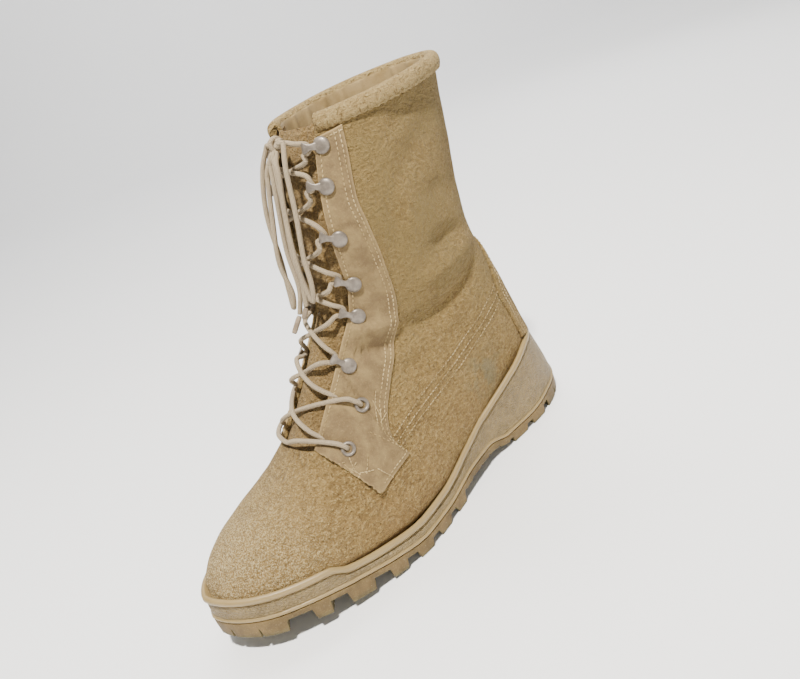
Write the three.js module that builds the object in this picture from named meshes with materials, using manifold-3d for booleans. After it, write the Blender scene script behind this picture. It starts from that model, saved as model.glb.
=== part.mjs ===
// Combat boot, left foot: lugged outsole, moulded midsole cup, insole, hollow leather upper, tongue and trim.
// Millimetres, +Z up, toe towards -Y, outer (lateral) side towards +X.
import * as THREE from "three";
import { mergeVertices } from "three/addons/utils/BufferGeometryUtils.js";
import Module from "manifold-3d";

const wasm = await Module();
wasm.setup();

// Rows of numbers as objects with named columns.
function named(columns, rows) {
  return rows.map((row) => Object.fromEntries(columns.map((name, i) => [name, row[i]])));
}

// Driving dimensions
const LENGTH = 307; // sole, heel back to toe tip
const BALL_WIDTH = 108; // sole across the ball
const SHAFT_HEIGHT = 262; // floor to the top edge of the shaft
const LEATHER = 2.4; // wall of the upper
const OVERLAY = 1.5; // facing and backstay leather
const GAP = 0.3; // between pieces that meet
const INSOLE = 4; // thickness of the footbed
const LASTING_MARGIN = 15; // width of the upper turned in under the insole
const CUP_WALL = 3.2; // midsole wall beside the upper

// How finely the forms are cut
const OUTLINE_STEPS = 2; // outline points between two rows of its table
const RING = 16; // points round a section of the upper
const RINGS_PER_ROW = [1, 1, 1, 1, 1, 1, 1, 1, 1, 1, 2, 1, 1, 1, 1, 1, 1, 1, 1, 1, 1, 1];

// Plan of the sole, round from the heel back along the outer side.
// along: share of LENGTH from the heel back. across: share of BALL_WIDTH, outer side positive.
const SOLE_PLAN = [
  { spot: "heel back", along: 0, across: 0 },
  { spot: "heel corner, outer", along: 0.046, across: 0.231 },
  { spot: "heel, outer", along: 0.156, across: 0.347 },
  { spot: "waist, outer", along: 0.345, across: 0.347 },
  { spot: "ball, outer", along: 0.606, across: 0.5 },
  { spot: "forefoot, outer", along: 0.775, across: 0.444 },
  { spot: "toe, outer", along: 0.886, across: 0.338 },
  { spot: "toe corner, outer", along: 0.958, across: 0.194 },
  { spot: "toe tip", along: 1, across: -0.04 },
  { spot: "toe corner, inner", along: 0.957, across: -0.246 },
  { spot: "toe, inner", along: 0.884, across: -0.368 },
  { spot: "ball, inner", along: 0.73, across: -0.492 },
  { spot: "waist front, inner", along: 0.521, across: -0.389 },
  { spot: "waist, inner", along: 0.375, across: -0.3 },
  { spot: "heel, inner", along: 0.169, across: -0.342 },
  { spot: "heel corner, inner", along: 0.046, across: -0.231 },
];

// Heights of the sole in millimetres at each share of LENGTH.
// ground: under the lugs. parting: top of the rubber. floor: inside of the cup. bead: top of the cup.
const SOLE_HEIGHTS = [
  { along: 0, ground: 1.5, parting: 12, floor: 28, bead: 60 },
  { along: 0.04, ground: 0, parting: 12, floor: 27.5, bead: 60.5 },
  { along: 0.1, ground: 0, parting: 11.5, floor: 26.5, bead: 59 },
  { along: 0.2, ground: 0, parting: 8.5, floor: 25, bead: 50.5 },
  { along: 0.28, ground: 0, parting: 8.5, floor: 24, bead: 42.5 },
  { along: 0.34, ground: 0, parting: 13, floor: 22, bead: 36.5 },
  { along: 0.42, ground: 0, parting: 13.6, floor: 18.8, bead: 29.8 },
  { along: 0.53, ground: 0, parting: 9.6, floor: 15, bead: 23 },
  { along: 0.62, ground: 0, parting: 9.6, floor: 13.8, bead: 22.6 },
  { along: 0.69, ground: 1.6, parting: 12.4, floor: 16, bead: 24.8 },
  { along: 0.77, ground: 4.4, parting: 16.6, floor: 20.2, bead: 28.4 },
  { along: 0.815, ground: 6.2, parting: 18.8, floor: 22.6, bead: 35 },
  { along: 0.87, ground: 8.8, parting: 21, floor: 24.8, bead: 37 },
  { along: 0.94, ground: 10.8, parting: 23, floor: 27, bead: 39.6 },
  { along: 1, ground: 13.7, parting: 25, floor: 29, bead: 42 },
];

// Sections of the upper, fanned out from the toe round the instep to the collar.
// frontAt, backAt: where the section meets the ridge or shin and the floor or heel, as shares of LENGTH.
// frontUp, backUp: how high, as shares of SHAFT_HEIGHT. outer, inner: widest places, shares of BALL_WIDTH.
// ridge, keel: sideways place of the front and back points. widest: where between back (0) and front (1).
// low, high: squareness below and above the widest place, from box (0) through ellipse (1) to wedge.
const SECTION_COLUMNS = [
  "frontAt", "frontUp", "backAt", "backUp", "outer", "inner", "ridge", "keel", "widest", "low", "high",
];
const UPPER_SECTIONS = named(SECTION_COLUMNS, [
  [0.986, 0.133, 0.986, 0.133, -0.04, -0.04, -0.04, -0.04, 0.4, 0.6, 0.9],
  [0.975, 0.166, 0.97, 0.114, 0.09, -0.165, -0.045, -0.04, 0.4, 0.6, 0.9],
  [0.948, 0.2, 0.945, 0.106, 0.178, -0.234, -0.05, -0.04, 0.35, 0.52, 0.88],
  [0.906, 0.225, 0.906, 0.1, 0.262, -0.306, -0.06, -0.035, 0.32, 0.44, 0.9],
  [0.85, 0.241, 0.85, 0.093, 0.342, -0.378, -0.07, -0.025, 0.3, 0.38, 0.95],
  [0.793, 0.265, 0.782, 0.079, 0.402, -0.426, -0.075, -0.01, 0.26, 0.36, 1],
  [0.741, 0.298, 0.704, 0.063, 0.442, -0.45, -0.065, 0, 0.23, 0.35, 1.08],
  [0.696, 0.344, 0.612, 0.053, 0.46, -0.448, -0.055, 0, 0.2, 0.35, 1.16],
  [0.655, 0.41, 0.515, 0.059, 0.438, -0.402, -0.045, 0.02, 0.19, 0.37, 1.2],
  [0.612, 0.472, 0.404, 0.073, 0.378, -0.344, -0.03, 0.03, 0.24, 0.4, 1.1],
  [0.577, 0.523, 0.28, 0.092, 0.334, -0.324, -0.02, 0.02, 0.34, 0.42, 0.95],
  [0.55, 0.563, 0.143, 0.1, 0.324, -0.318, -0.01, 0.01, 0.42, 0.5, 0.85],
  [0.537, 0.595, 0.046, 0.111, 0.33, -0.33, 0, 0, 0.45, 0.8, 0.8],
  [0.53, 0.63, 0.042, 0.155, 0.338, -0.338, 0, 0, 0.47, 0.86, 0.78],
  [0.526, 0.665, 0.057, 0.214, 0.348, -0.348, 0, 0, 0.48, 0.86, 0.76],
  [0.521, 0.7, 0.077, 0.296, 0.36, -0.36, 0, 0, 0.49, 0.84, 0.75],
  [0.515, 0.738, 0.1, 0.405, 0.371, -0.371, 0, 0, 0.5, 0.82, 0.74],
  [0.507, 0.78, 0.129, 0.508, 0.382, -0.382, 0, 0, 0.5, 0.8, 0.74],
  [0.498, 0.82, 0.147, 0.603, 0.389, -0.389, 0, 0, 0.5, 0.76, 0.74],
  [0.488, 0.858, 0.143, 0.693, 0.394, -0.394, 0, 0, 0.5, 0.77, 0.75],
  [0.478, 0.893, 0.131, 0.782, 0.397, -0.397, 0, 0, 0.5, 0.78, 0.76],
  [0.467, 0.93, 0.118, 0.878, 0.4, -0.4, 0, 0, 0.5, 0.8, 0.78],
  [0.455, 0.967, 0.101, 0.988, 0.402, -0.402, 0, 0, 0.5, 0.82, 0.8],
]);

// ---------------------------------------------------------------- numbers and curves

// A smooth function through one column of a table, which never overshoots its rows.
function smooth(table, key, name) {
  const at = table.map((row, i) => (key ? row[key] : i));
  const value = table.map((row) => row[name]);
  const rise = at.slice(1).map((a, i) => (value[i + 1] - value[i]) / (a - at[i]));
  const slope = value.map((_, i) => {
    if (i === 0) return rise[0];
    if (i === rise.length) return rise[i - 1];
    if (rise[i - 1] * rise[i] <= 0) return 0;
    return (2 * rise[i - 1] * rise[i]) / (rise[i - 1] + rise[i]);
  });
  return (x) => {
    let i = 0;
    while (i < rise.length - 1 && x > at[i + 1]) i += 1;
    const span = at[i + 1] - at[i];
    const t = THREE.MathUtils.clamp((x - at[i]) / span, 0, 1);
    const ease = t * t * (3 - 2 * t);
    const lead = t * (1 - t) * (1 - t) * slope[i];
    const trail = t * t * (t - 1) * slope[i + 1];
    return value[i] + (value[i + 1] - value[i]) * ease + span * (lead + trail);
  };
}

// A point from its distance forward of the heel back, its sideways place and its height.
function spot(forward, across, up) {
  return new THREE.Vector3(across, LENGTH / 2 - forward, up);
}

// How far forward of the heel back a point lies.
function forwardOf(point) {
  return LENGTH / 2 - point.y;
}

// ---------------------------------------------------------------- solids

// A solid that can be joined and cut, from a geometry.
function solidOf(geometry) {
  const bare = geometry.clone();
  bare.deleteAttribute("normal");
  bare.deleteAttribute("uv");
  const merged = mergeVertices(bare, 1e-4);
  const index = merged.index.array;
  return new wasm.Manifold(
    new wasm.Mesh({
      numProp: 3,
      vertProperties: new Float32Array(merged.attributes.position.array),
      triVerts: new Uint32Array(index),
    }),
  );
}

// A geometry from such a solid.
function geometryOf(solid) {
  const mesh = solid.getMesh();
  const geometry = new THREE.BufferGeometry();
  geometry.setAttribute("position", new THREE.BufferAttribute(new Float32Array(mesh.vertProperties), 3));
  geometry.setIndex(new THREE.BufferAttribute(new Uint32Array(mesh.triVerts), 1));
  geometry.computeVertexNormals();
  return geometry;
}

// The biggest of a solid's separate bodies.
function largest(solid) {
  return solid.decompose().reduce((a, b) => (a.volume() > b.volume() ? a : b));
}

// A closed solid through rings of equal length. Each end is closed by a strip that zips the ring
// shut from its first point, or by a fan when the ring has shrunk to one point.
function loft(rings) {
  const count = rings[0].length;
  const points = [];
  const faces = [];
  const start = rings.map((ring) => {
    const first = points.length;
    points.push(...(isPoint(ring) ? [ring[0]] : ring));
    return first;
  });
  const id = (r, k) => (isPoint(rings[r]) ? start[r] : start[r] + (((k % count) + count) % count));
  const add = (a, b, c) => {
    if (a !== b && b !== c && c !== a) faces.push(a, b, c);
  };
  for (let r = 0; r < rings.length - 1; r += 1) {
    for (let k = 0; k < count; k += 1) {
      add(id(r, k), id(r, k + 1), id(r + 1, k + 1));
      add(id(r, k), id(r + 1, k + 1), id(r + 1, k));
    }
  }
  [0, rings.length - 1].forEach((r, end) => {
    if (isPoint(rings[r])) return;
    for (let k = 0; k < count / 2; k += 1) {
      const [a, b, c, d] = [id(r, k), id(r, k + 1), id(r, -k - 1), id(r, -k)];
      if (end === 0) {
        add(a, c, b);
        add(a, d, c);
      } else {
        add(a, b, c);
        add(a, c, d);
      }
    }
  });
  const geometry = new THREE.BufferGeometry().setFromPoints(points);
  geometry.setIndex(faces);
  const solid = solidOf(geometry);
  if (solid.volume() > 0) return solid;
  for (let i = 0; i < faces.length; i += 3) [faces[i + 1], faces[i + 2]] = [faces[i + 2], faces[i + 1]];
  geometry.setIndex(faces);
  return solidOf(geometry);
}

function isPoint(ring) {
  return ring.every((point) => point.distanceTo(ring[0]) < 1e-6);
}

// ---------------------------------------------------------------- sole

const SOLE_CURVE = new THREE.CatmullRomCurve3(
  SOLE_PLAN.map((row) => spot(row.along * LENGTH, row.across * BALL_WIDTH, 0)),
  true,
  "centripetal",
);
const OUTLINE = SOLE_CURVE.getPoints(SOLE_PLAN.length * OUTLINE_STEPS).slice(0, -1);
const ground = smooth(SOLE_HEIGHTS, "along", "ground");
const parting = smooth(SOLE_HEIGHTS, "along", "parting");
const bead = smooth(SOLE_HEIGHTS, "along", "bead");
const floor = smooth(SOLE_HEIGHTS, "along", "floor");

// The outline moved inwards in plan, at heights given by a function of the share of LENGTH.
function outlineRing(inset, heightAt) {
  return OUTLINE.map((point, i) => {
    const before = OUTLINE[(i + OUTLINE.length - 1) % OUTLINE.length];
    const after = OUTLINE[(i + 1) % OUTLINE.length];
    const along = after.clone().sub(before).normalize();
    const moved = new THREE.Vector3(point.x + along.y * inset, point.y - along.x * inset, 0);
    moved.z = heightAt(THREE.MathUtils.clamp(forwardOf(point) / LENGTH, 0, 1));
    return moved;
  });
}

// The heel of the cup leans forward as it rises, most at the back of the heel.
const HEEL_LEAN = 14; // forward at the top of the cup
const HEEL_LEAN_FROM = 16; // height where the lean begins
const HEEL_LEAN_REACH = 0.33; // share of LENGTH where it has died out

function leaned(ring) {
  const top = bead(0) - HEEL_LEAN_FROM;
  return ring.map((point) => {
    const rise = Math.max(0, (point.z - HEEL_LEAN_FROM) / top);
    const along = forwardOf(point) / LENGTH;
    const share = Math.max(0, 1 - along / HEEL_LEAN_REACH);
    return point.clone().setY(point.y - HEEL_LEAN * rise ** 1.2 * share);
  });
}

// Levels of the cup's outside: share of the way from the parting to the bead, and how far inside
// the outline in millimetres.
const CUP_LEVELS = [
  { rise: 0, inset: 0 },
  { rise: 0.45, inset: 1.1 },
  { rise: 0.82, inset: 1.5 },
  { rise: 0.88, inset: 0.7 },
  { rise: 0.96, inset: 0.6 },
  { rise: 1, inset: 1.6 },
];
const BEAD_WIDTH = 7; // flat ring at the top of the block that the cup is cut from

function cupHeight(rise, lift) {
  return (along) => THREE.MathUtils.lerp(parting(along) + lift, bead(along), rise);
}

function midsoleBlock() {
  const rings = CUP_LEVELS.map((level) => leaned(outlineRing(level.inset, cupHeight(level.rise, GAP))));
  const top = CUP_LEVELS[CUP_LEVELS.length - 1];
  rings.push(leaned(outlineRing(top.inset + BEAD_WIDTH, cupHeight(top.rise, GAP))));
  return loft(rings);
}

// ---------------------------------------------------------------- upper

const SECTION = Object.fromEntries(SECTION_COLUMNS.map((name) => [name, smooth(UPPER_SECTIONS, null, name)]));
const SECTION_TIMES = RINGS_PER_ROW.flatMap((steps, row) =>
  Array.from({ length: steps }, (_, i) => row + i / steps),
).concat(UPPER_SECTIONS.length - 1);

// A point of the upper's outside. angle runs from the floor or heel (0) up the outer side to the
// ridge or shin (half a turn) and down the inner side.
function upperPoint(time, angle) {
  const row = Object.fromEntries(SECTION_COLUMNS.map((name) => [name, SECTION[name](time)]));
  const half = angle <= Math.PI ? angle : 2 * Math.PI - angle;
  const below = half < Math.PI / 2;
  const turn = -Math.cos(half);
  const part = row.widest + turn * (below ? row.widest : 1 - row.widest);
  const squareness = below ? row.low : row.high;
  const out = Math.abs(Math.sin(half)) < 1e-9 ? 0 : Math.sin(half) ** squareness;
  const middle = THREE.MathUtils.lerp(row.keel, row.ridge, part);
  const middleAtWidest = THREE.MathUtils.lerp(row.keel, row.ridge, row.widest);
  const edge = angle <= Math.PI ? row.outer : row.inner;
  return spot(
    THREE.MathUtils.lerp(row.backAt, row.frontAt, part) * LENGTH,
    (middle + (edge - middleAtWidest) * out) * BALL_WIDTH,
    THREE.MathUtils.lerp(row.backUp, row.frontUp, part) * SHAFT_HEIGHT,
  );
}

// The direction straight out of the upper at a point of its outside.
function upperNormal(time, angle) {
  const step = 0.02;
  const last = UPPER_SECTIONS.length - 1;
  const round = upperPoint(time, (angle + step) % (2 * Math.PI)).sub(
    upperPoint(time, (angle - step + 2 * Math.PI) % (2 * Math.PI)),
  );
  const onward = upperPoint(Math.min(time + step, last), angle).sub(upperPoint(time - step, angle));
  return onward.cross(round).normalize();
}

// A point over the upper's outside, at a distance along the normal there.
function overUpper(time, angle, distance) {
  return upperPoint(time, angle).addScaledVector(upperNormal(time, angle), distance);
}

// The upper's outside moved along its own normals: rings from the toe to the collar.
function upperRings(grow) {
  const turns = Array.from({ length: RING }, (_, k) => (2 * Math.PI * k) / RING);
  return SECTION_TIMES.map((time, r) => {
    if (r > 0) return turns.map((angle) => overUpper(time, angle, grow));
    const tip = upperPoint(0, 0).add(new THREE.Vector3(0, -grow, 0));
    return turns.map(() => tip.clone());
  });
}

// The upper's outside as a closed form, grown or shrunk, and carried on above the collar.
function upperForm(grow, above = 0) {
  const rings = upperRings(grow);
  if (above > 0) rings.push(rings[rings.length - 1].map((p) => p.clone().setZ(p.z + above)));
  return loft(rings);
}

// Half the width of the throat opening between the facings, against the row of UPPER_SECTIONS.
const THROAT = [
  { row: 6.6, half: 16 },
  { row: 6.9, half: 19 },
  { row: 8, half: 18 },
  { row: 9.5, half: 16.5 },
  { row: 12, half: 18 },
  { row: 14, half: 20.5 },
  { row: 22, half: 21.5 },
];
const THROAT_DEPTH = 26; // how deep the throat cutter reaches inwards from the ridge
const THROAT_PROUD = 12; // and outwards
const throatHalf = smooth(THROAT, "row", "half");

// A bar of rectangular section that follows the ridge and shin, to cut the throat and what lies in it.
function ridgeBar(firstRow, lastRow, halfWidth, outwards, inwards) {
  const rings = [];
  const steps = Math.round((lastRow - firstRow) / 0.75);
  for (let i = 0; i <= steps; i += 1) {
    const row = THREE.MathUtils.lerp(firstRow, lastRow, i / steps);
    const at = upperPoint(row, Math.PI);
    const onward = upperPoint(row + 0.1, Math.PI).sub(upperPoint(row - 0.1, Math.PI)).normalize();
    const out = new THREE.Vector3(0, -onward.z, onward.y).normalize();
    const half = halfWidth(row);
    const corner = (side, reach) => at.clone().addScaledVector(out, reach).setX(at.x + side * half);
    rings.push([corner(1, outwards), corner(1, -inwards), corner(-1, -inwards), corner(-1, outwards)]);
  }
  return loft(rings);
}

// ---------------------------------------------------------------- outsole lugs

const RUBBER = 4; // rubber above the lugs
const SHANK_RISE = 1.6; // how far the ribbed bars of the arch stand down from the rubber

// Side lugs. from, to: shares of LENGTH at the edge. reach: inwards. sweep: how far the inner end
// lies towards the heel. Rows with a negative side are on the inner side of the foot.
const LUG_COLUMNS = ["side", "from", "to", "reach", "sweep"];
const SIDE_LUGS = named(LUG_COLUMNS, [
  [1, 0.836, 0.874, 26, 20],
  [1, 0.749, 0.807, 27, 18],
  [1, 0.676, 0.714, 26, 13],
  [1, 0.606, 0.645, 24, 7],
  [1, 0.54, 0.577, 22, 5],
  [1, 0.476, 0.51, 20, 3],
  [-1, 0.84, 0.88, 22, -14],
  [-1, 0.765, 0.81, 24, -15],
  [-1, 0.695, 0.737, 26, -14],
  [-1, 0.625, 0.667, 25, -11],
  [-1, 0.555, 0.595, 22, -9],
  [-1, 0.49, 0.525, 18, -7],
  [1, 0.222, 0.27, 25, 2],
  [1, 0.15, 0.196, 26, 4],
  [1, 0.083, 0.124, 24, 7],
  [-1, 0.225, 0.27, 24, 1],
  [-1, 0.155, 0.198, 25, 3],
  [-1, 0.09, 0.13, 23, 5],
]);

// Small lugs of the middle, as turned blocks. along: share of LENGTH. across, size: millimetres.
const MIDDLE_LUGS = named(["along", "across", "long", "wide", "turn"], [
  [0.515, 0, 13, 14, 45],
  [0.575, 2, 13, 13, 45],
  [0.635, 0, 13, 13, 45],
  [0.695, -2, 13, 13, 45],
  [0.755, -4, 13, 13, 45],
  [0.14, 0, 12, 12, 45],
  [0.21, 0, 10, 15, 0],
]);

// Ribbed bars at the edges of the arch. from, to: shares of LENGTH.
const SHANK_BARS = { from: 0.285, to: 0.47, count: 5, reach: 21, space: 1.6 };

// Rings of lugs round the toe and heel. middle: share of LENGTH of the ring's centre.
// Radii in millimetres; turns in degrees from straight towards the end of the sole.
const LUG_RINGS = named(["middle", "across", "inside", "outside", "spread", "pieces", "end"], [
  [0.85, -3, 27, 70, 60, 5, 1],
  [0.85, -3, 13, 25, 70, 3, 1],
  [0.145, 0, 26, 60, 54, 4, -1],
  [0.145, 0, 12, 23, 60, 2, -1],
]);
const RING_SPLIT = 1.4; // width of the cuts between the pieces of a ring

// A prism with a plan outline, from below the ground to inside the rubber.
function prism(corners) {
  const shape = new THREE.Shape(corners.map(([forward, across]) => new THREE.Vector2(across, LENGTH / 2 - forward)));
  const tall = 40;
  return solidOf(new THREE.ExtrudeGeometry(shape, { depth: tall, bevelEnabled: false }).translate(0, 0, -5));
}

// The sole's half width at a share of LENGTH, on one side.
function edgeAt(along, side) {
  const forward = along * LENGTH;
  let best = 0;
  OUTLINE.forEach((a, i) => {
    const b = OUTLINE[(i + 1) % OUTLINE.length];
    const [fa, fb] = [forwardOf(a), forwardOf(b)];
    if ((fa - forward) * (fb - forward) > 0 || fa === fb) return;
    const x = THREE.MathUtils.lerp(a.x, b.x, (forward - fa) / (fb - fa));
    if (x * side > best * side) best = x;
  });
  return best;
}

function sideLug(row) {
  const outside = 6;
  const [a, b] = [row.from * LENGTH, row.to * LENGTH];
  const middle = (row.from + row.to) / 2;
  const edge = edgeAt(middle, row.side);
  const tilt = row.sweep / row.reach;
  const near = edge + row.side * outside;
  const far = edge - row.side * row.reach;
  const [lead, trail] = [outside * tilt, row.reach * tilt];
  return prism([
    [a + lead, near],
    [b + lead, near],
    [b - trail, far],
    [a - trail, far],
  ]);
}

function middleLug(row) {
  const turn = THREE.MathUtils.degToRad(row.turn);
  const corner = (u, v) => [
    row.along * LENGTH + u * Math.cos(turn) - v * Math.sin(turn),
    row.across + u * Math.sin(turn) + v * Math.cos(turn),
  ];
  const [u, v] = [row.long / 2, row.wide / 2];
  return prism([corner(u, v), corner(-u, v), corner(-u, -v), corner(u, -v)]);
}

function ringLugs(row) {
  const reach = THREE.MathUtils.degToRad(row.spread);
  const share = (2 * reach) / row.pieces;
  const pieces = [];
  for (let k = 0; k < row.pieces; k += 1) {
    const from = -reach + k * share;
    const arc = (radius, turn) => [
      row.middle * LENGTH + row.end * radius * Math.cos(turn),
      row.across + radius * Math.sin(turn),
    ];
    const split = (radius) => RING_SPLIT / 2 / radius;
    const corners = [0, 1].map((t) =>
      arc(row.outside, THREE.MathUtils.lerp(from + split(row.outside), from + share - split(row.outside), t)),
    );
    corners.push(
      ...[1, 0].map((t) =>
        arc(row.inside, THREE.MathUtils.lerp(from + split(row.inside), from + share - split(row.inside), t)),
      ),
    );
    pieces.push(prism(corners));
  }
  return pieces;
}

function shankBars(side) {
  const bars = [];
  const step = (SHANK_BARS.to - SHANK_BARS.from) / SHANK_BARS.count;
  for (let k = 0; k < SHANK_BARS.count; k += 1) {
    const from = SHANK_BARS.from + k * step;
    const to = from + step - SHANK_BARS.space / LENGTH;
    bars.push(sideLug({ side, from, to, reach: SHANK_BARS.reach, sweep: 0 }));
  }
  return bars;
}

function joined(solids) {
  return solids.reduce((a, b) => a.add(b));
}

function makeOutsole() {
  const under = (along) => parting(along) - RUBBER;
  const base = loft([outlineRing(1, under), outlineRing(0, (a) => under(a) + 1.5), outlineRing(0, parting)]);
  const inside = (along) => under(along) + 1;
  const lugBand = loft([outlineRing(0.8, ground), outlineRing(0, inside)]);
  const shankBand = loft([outlineRing(0.8, (a) => under(a) - SHANK_RISE), outlineRing(0.4, inside)]);
  const lugs = [...SIDE_LUGS.map(sideLug), ...MIDDLE_LUGS.map(middleLug), ...LUG_RINGS.flatMap(ringLugs)];
  const bars = [...shankBars(1), ...shankBars(-1)];
  return base.add(joined(lugs).intersect(lugBand)).add(joined(bars).intersect(shankBand));
}

// ---------------------------------------------------------------- main pieces

function makeMidsole() {
  return largest(midsoleBlock().subtract(upperForm(GAP)));
}

function makeInsole() {
  const bottom = outlineRing(CUP_WALL, () => 0);
  const top = outlineRing(CUP_WALL, (along) => floor(along) + LEATHER + GAP + INSOLE);
  return largest(upperForm(-LEATHER - GAP).intersect(loft([bottom, top])));
}

function throatCutter() {
  const last = THROAT[THROAT.length - 1].row;
  return ridgeBar(THROAT[0].row, last, throatHalf, THROAT_PROUD, THROAT_DEPTH);
}

// Everything between two grown forms of the upper: a skin that follows its outside.
function skin(inside, outside) {
  return upperForm(outside).subtract(upperForm(inside, 1));
}

function makeUpper() {
  const above = 8;
  const shell = upperForm(0).subtract(upperForm(-LEATHER, above));
  const underneath = loft([
    outlineRing(CUP_WALL + LASTING_MARGIN, () => 0),
    outlineRing(CUP_WALL + LASTING_MARGIN, (along) => floor(along) + LEATHER + 1),
  ]);
  return largest(shell.subtract(underneath).subtract(throatCutter()).subtract(joined(allHoles())));
}

const TONGUE = { leather: 2, halfWidth: 33, firstRow: 6.4, depth: 40 };

function tongueStrip(spare) {
  const last = UPPER_SECTIONS.length - 1;
  return ridgeBar(TONGUE.firstRow, last, () => TONGUE.halfWidth + spare, 2, TONGUE.depth);
}

function makeTongue() {
  const outside = -LEATHER - GAP;
  const leaf = upperForm(outside).subtract(upperForm(outside - TONGUE.leather, 8));
  return largest(leaf.intersect(tongueStrip(0)));
}

// ---------------------------------------------------------------- facings, backstay and collar

// Outline of a facing seen from the side. forward: millimetres from the heel back. up: height.
const FACING = named(["forward", "up"], [
  [126, 247], [134, 210], [134, 193], [132, 165], [133.5, 135], [138.7, 121], [151, 104.7],
  [164.6, 89.6], [177.7, 70.3], [171.4, 58], [187, 54.8], [201.8, 50.9], [206.6, 55.6],
  [211.4, 63.6], [216.2, 73], [225, 86], [205, 125], [185, 150], [185, 200], [170, 247],
]);
// Outline of the backstay seen from the side, which wraps round the heel above the cup.
const BACKSTAY = named(["forward", "up"], [
  [-10, 62.5], [41.5, 62.5], [45, 73.2], [49.5, 89.5], [54, 103], [51, 122], [44, 142], [34, 158], [-10, 158],
]);

// A bar across the boot with an outline seen from the side, between two sideways places.
function sideBar(corners, from, to) {
  const shape = new THREE.Shape(corners.map((row) => new THREE.Vector2(row.forward, row.up)));
  const bar = new THREE.ExtrudeGeometry(shape, { depth: to - from, bevelEnabled: false });
  const stand = new THREE.Matrix4().makeBasis(
    new THREE.Vector3(0, -1, 0),
    new THREE.Vector3(0, 0, 1),
    new THREE.Vector3(1, 0, 0),
  );
  stand.setPosition(from, LENGTH / 2, 0);
  return rightWayOut(bar.applyMatrix4(stand));
}

// A solid from a geometry that may have been mirrored.
function rightWayOut(geometry) {
  const solid = solidOf(geometry);
  if (solid.volume() > 0) return solid;
  const flat = geometry.index ? geometry.toNonIndexed() : geometry.clone();
  const place = flat.attributes.position;
  for (let i = 0; i < place.count; i += 3) {
    const [b, c] = [i + 1, i + 2].map((k) => new THREE.Vector3().fromBufferAttribute(place, k));
    place.setXYZ(i + 1, c.x, c.y, c.z);
    place.setXYZ(i + 2, b.x, b.y, b.z);
  }
  return solidOf(flat);
}

function makeFacing(side) {
  const wide = BALL_WIDTH;
  const bar = sideBar(FACING, Math.min(0, side * wide), Math.max(0, side * wide));
  const leaf = skin(GAP, GAP + OVERLAY).intersect(bar).subtract(throatCutter());
  return largest(leaf.subtract(joined(EYELET_SEATS.filter((seat) => seat.side === side).map(holeAt))));
}

function makeBackstay() {
  return largest(skin(GAP, GAP + OVERLAY).intersect(sideBar(BACKSTAY, -BALL_WIDTH, BALL_WIDTH)));
}

// Section of the padded collar before the groove for the rim is cut. out: from the upper's outside.
// up: from its rim.
const COLLAR = named(["out", "up"], [
  [2.1, -5], [3.1, -1.5], [2.2, 2.2], [-1.4, 3.8], [-4.8, 2.2], [-5.4, -2], [-4.6, -10],
]);
const COLLAR_END = 0.84; // where it ends beside the throat, as a share of the half turn

function makeCollar() {
  const rim = UPPER_SECTIONS.length - 1;
  const rings = [];
  const end = Math.PI * COLLAR_END;
  const share = (2 * Math.PI) / RING;
  const whole = Math.floor(end / share);
  const between = Array.from({ length: 2 * whole + 1 }, (_, i) => (whole - i) * share);
  for (const angle of [end, ...between, -end]) {
    const turn = (angle + 2 * Math.PI) % (2 * Math.PI);
    const rimPoint = upperPoint(rim, turn);
    const out = upperNormal(rim, turn).setZ(0).normalize();
    rings.push(COLLAR.map((row) => rimPoint.clone().addScaledVector(out, row.out).setZ(rimPoint.z + row.up)));
  }
  const groove = upperForm(GAP, GAP).subtract(upperForm(-LEATHER - GAP, 1));
  const room = upperForm(-LEATHER, GAP).intersect(tongueStrip(1));
  return largest(tunnel(rings).subtract(groove).subtract(room));
}

// A closed solid through rings of one concave outline, its two ends closed by triangulating it.
function tunnel(rings) {
  const count = rings[0].length;
  const faces = [];
  for (let r = 0; r < rings.length - 1; r += 1) {
    for (let k = 0; k < count; k += 1) {
      const [a, b] = [r * count + k, r * count + ((k + 1) % count)];
      faces.push(a, b, b + count, a, b + count, a + count);
    }
  }
  const outline = COLLAR.map((row) => new THREE.Vector2(row.out, row.up));
  const last = (rings.length - 1) * count;
  THREE.ShapeUtils.triangulateShape(outline, []).forEach(([a, b, c]) => {
    faces.push(a, c, b, last + a, last + b, last + c);
  });
  const geometry = new THREE.BufferGeometry().setFromPoints(rings.flat());
  geometry.setIndex(faces);
  return rightWayOut(geometry);
}

// ---------------------------------------------------------------- eyelets, vents and hooks

// Where each sits. row: of UPPER_SECTIONS. turn: degrees from the floor up the outer side.
// side: 1 outer, -1 inner. base: height of the leather it sits on, over the upper's outside.
const SEAT_COLUMNS = ["row", "turn", "side", "base"];
const FACED = GAP + OVERLAY;
const EYELET_SEATS = named(SEAT_COLUMNS, [
  [7.47, 136, 1, FACED],
  [8.67, 135.5, 1, FACED],
  [7.47, 136, -1, FACED],
  [8.67, 135.5, -1, FACED],
]);
const VENT_SEATS = named(SEAT_COLUMNS, [
  [8.9, 94, -1, 0],
  [9.7, 90, -1, 0],
]);
const HOOK_SEATS = named(SEAT_COLUMNS, [
  [9.55, 146.5, 1, FACED],
  [11.63, 149.5, 1, FACED],
  [13.75, 148.5, 1, FACED],
  [16.29, 149.5, 1, FACED],
  [18.78, 151, 1, FACED],
  [20.8, 150.5, 1, FACED],
]).flatMap((seat) => [seat, { ...seat, side: -1 }]);

const EYELET = { bore: 2.3, barrel: 2.9, flange: 4.4, lift: 0.5, tall: 1.1, sides: 8, clearance: 0.4 };
const HOOK = { disc: 4.7, lift: 0.6, rim: 0.9, dome: 1.6, sides: 9 };
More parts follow.
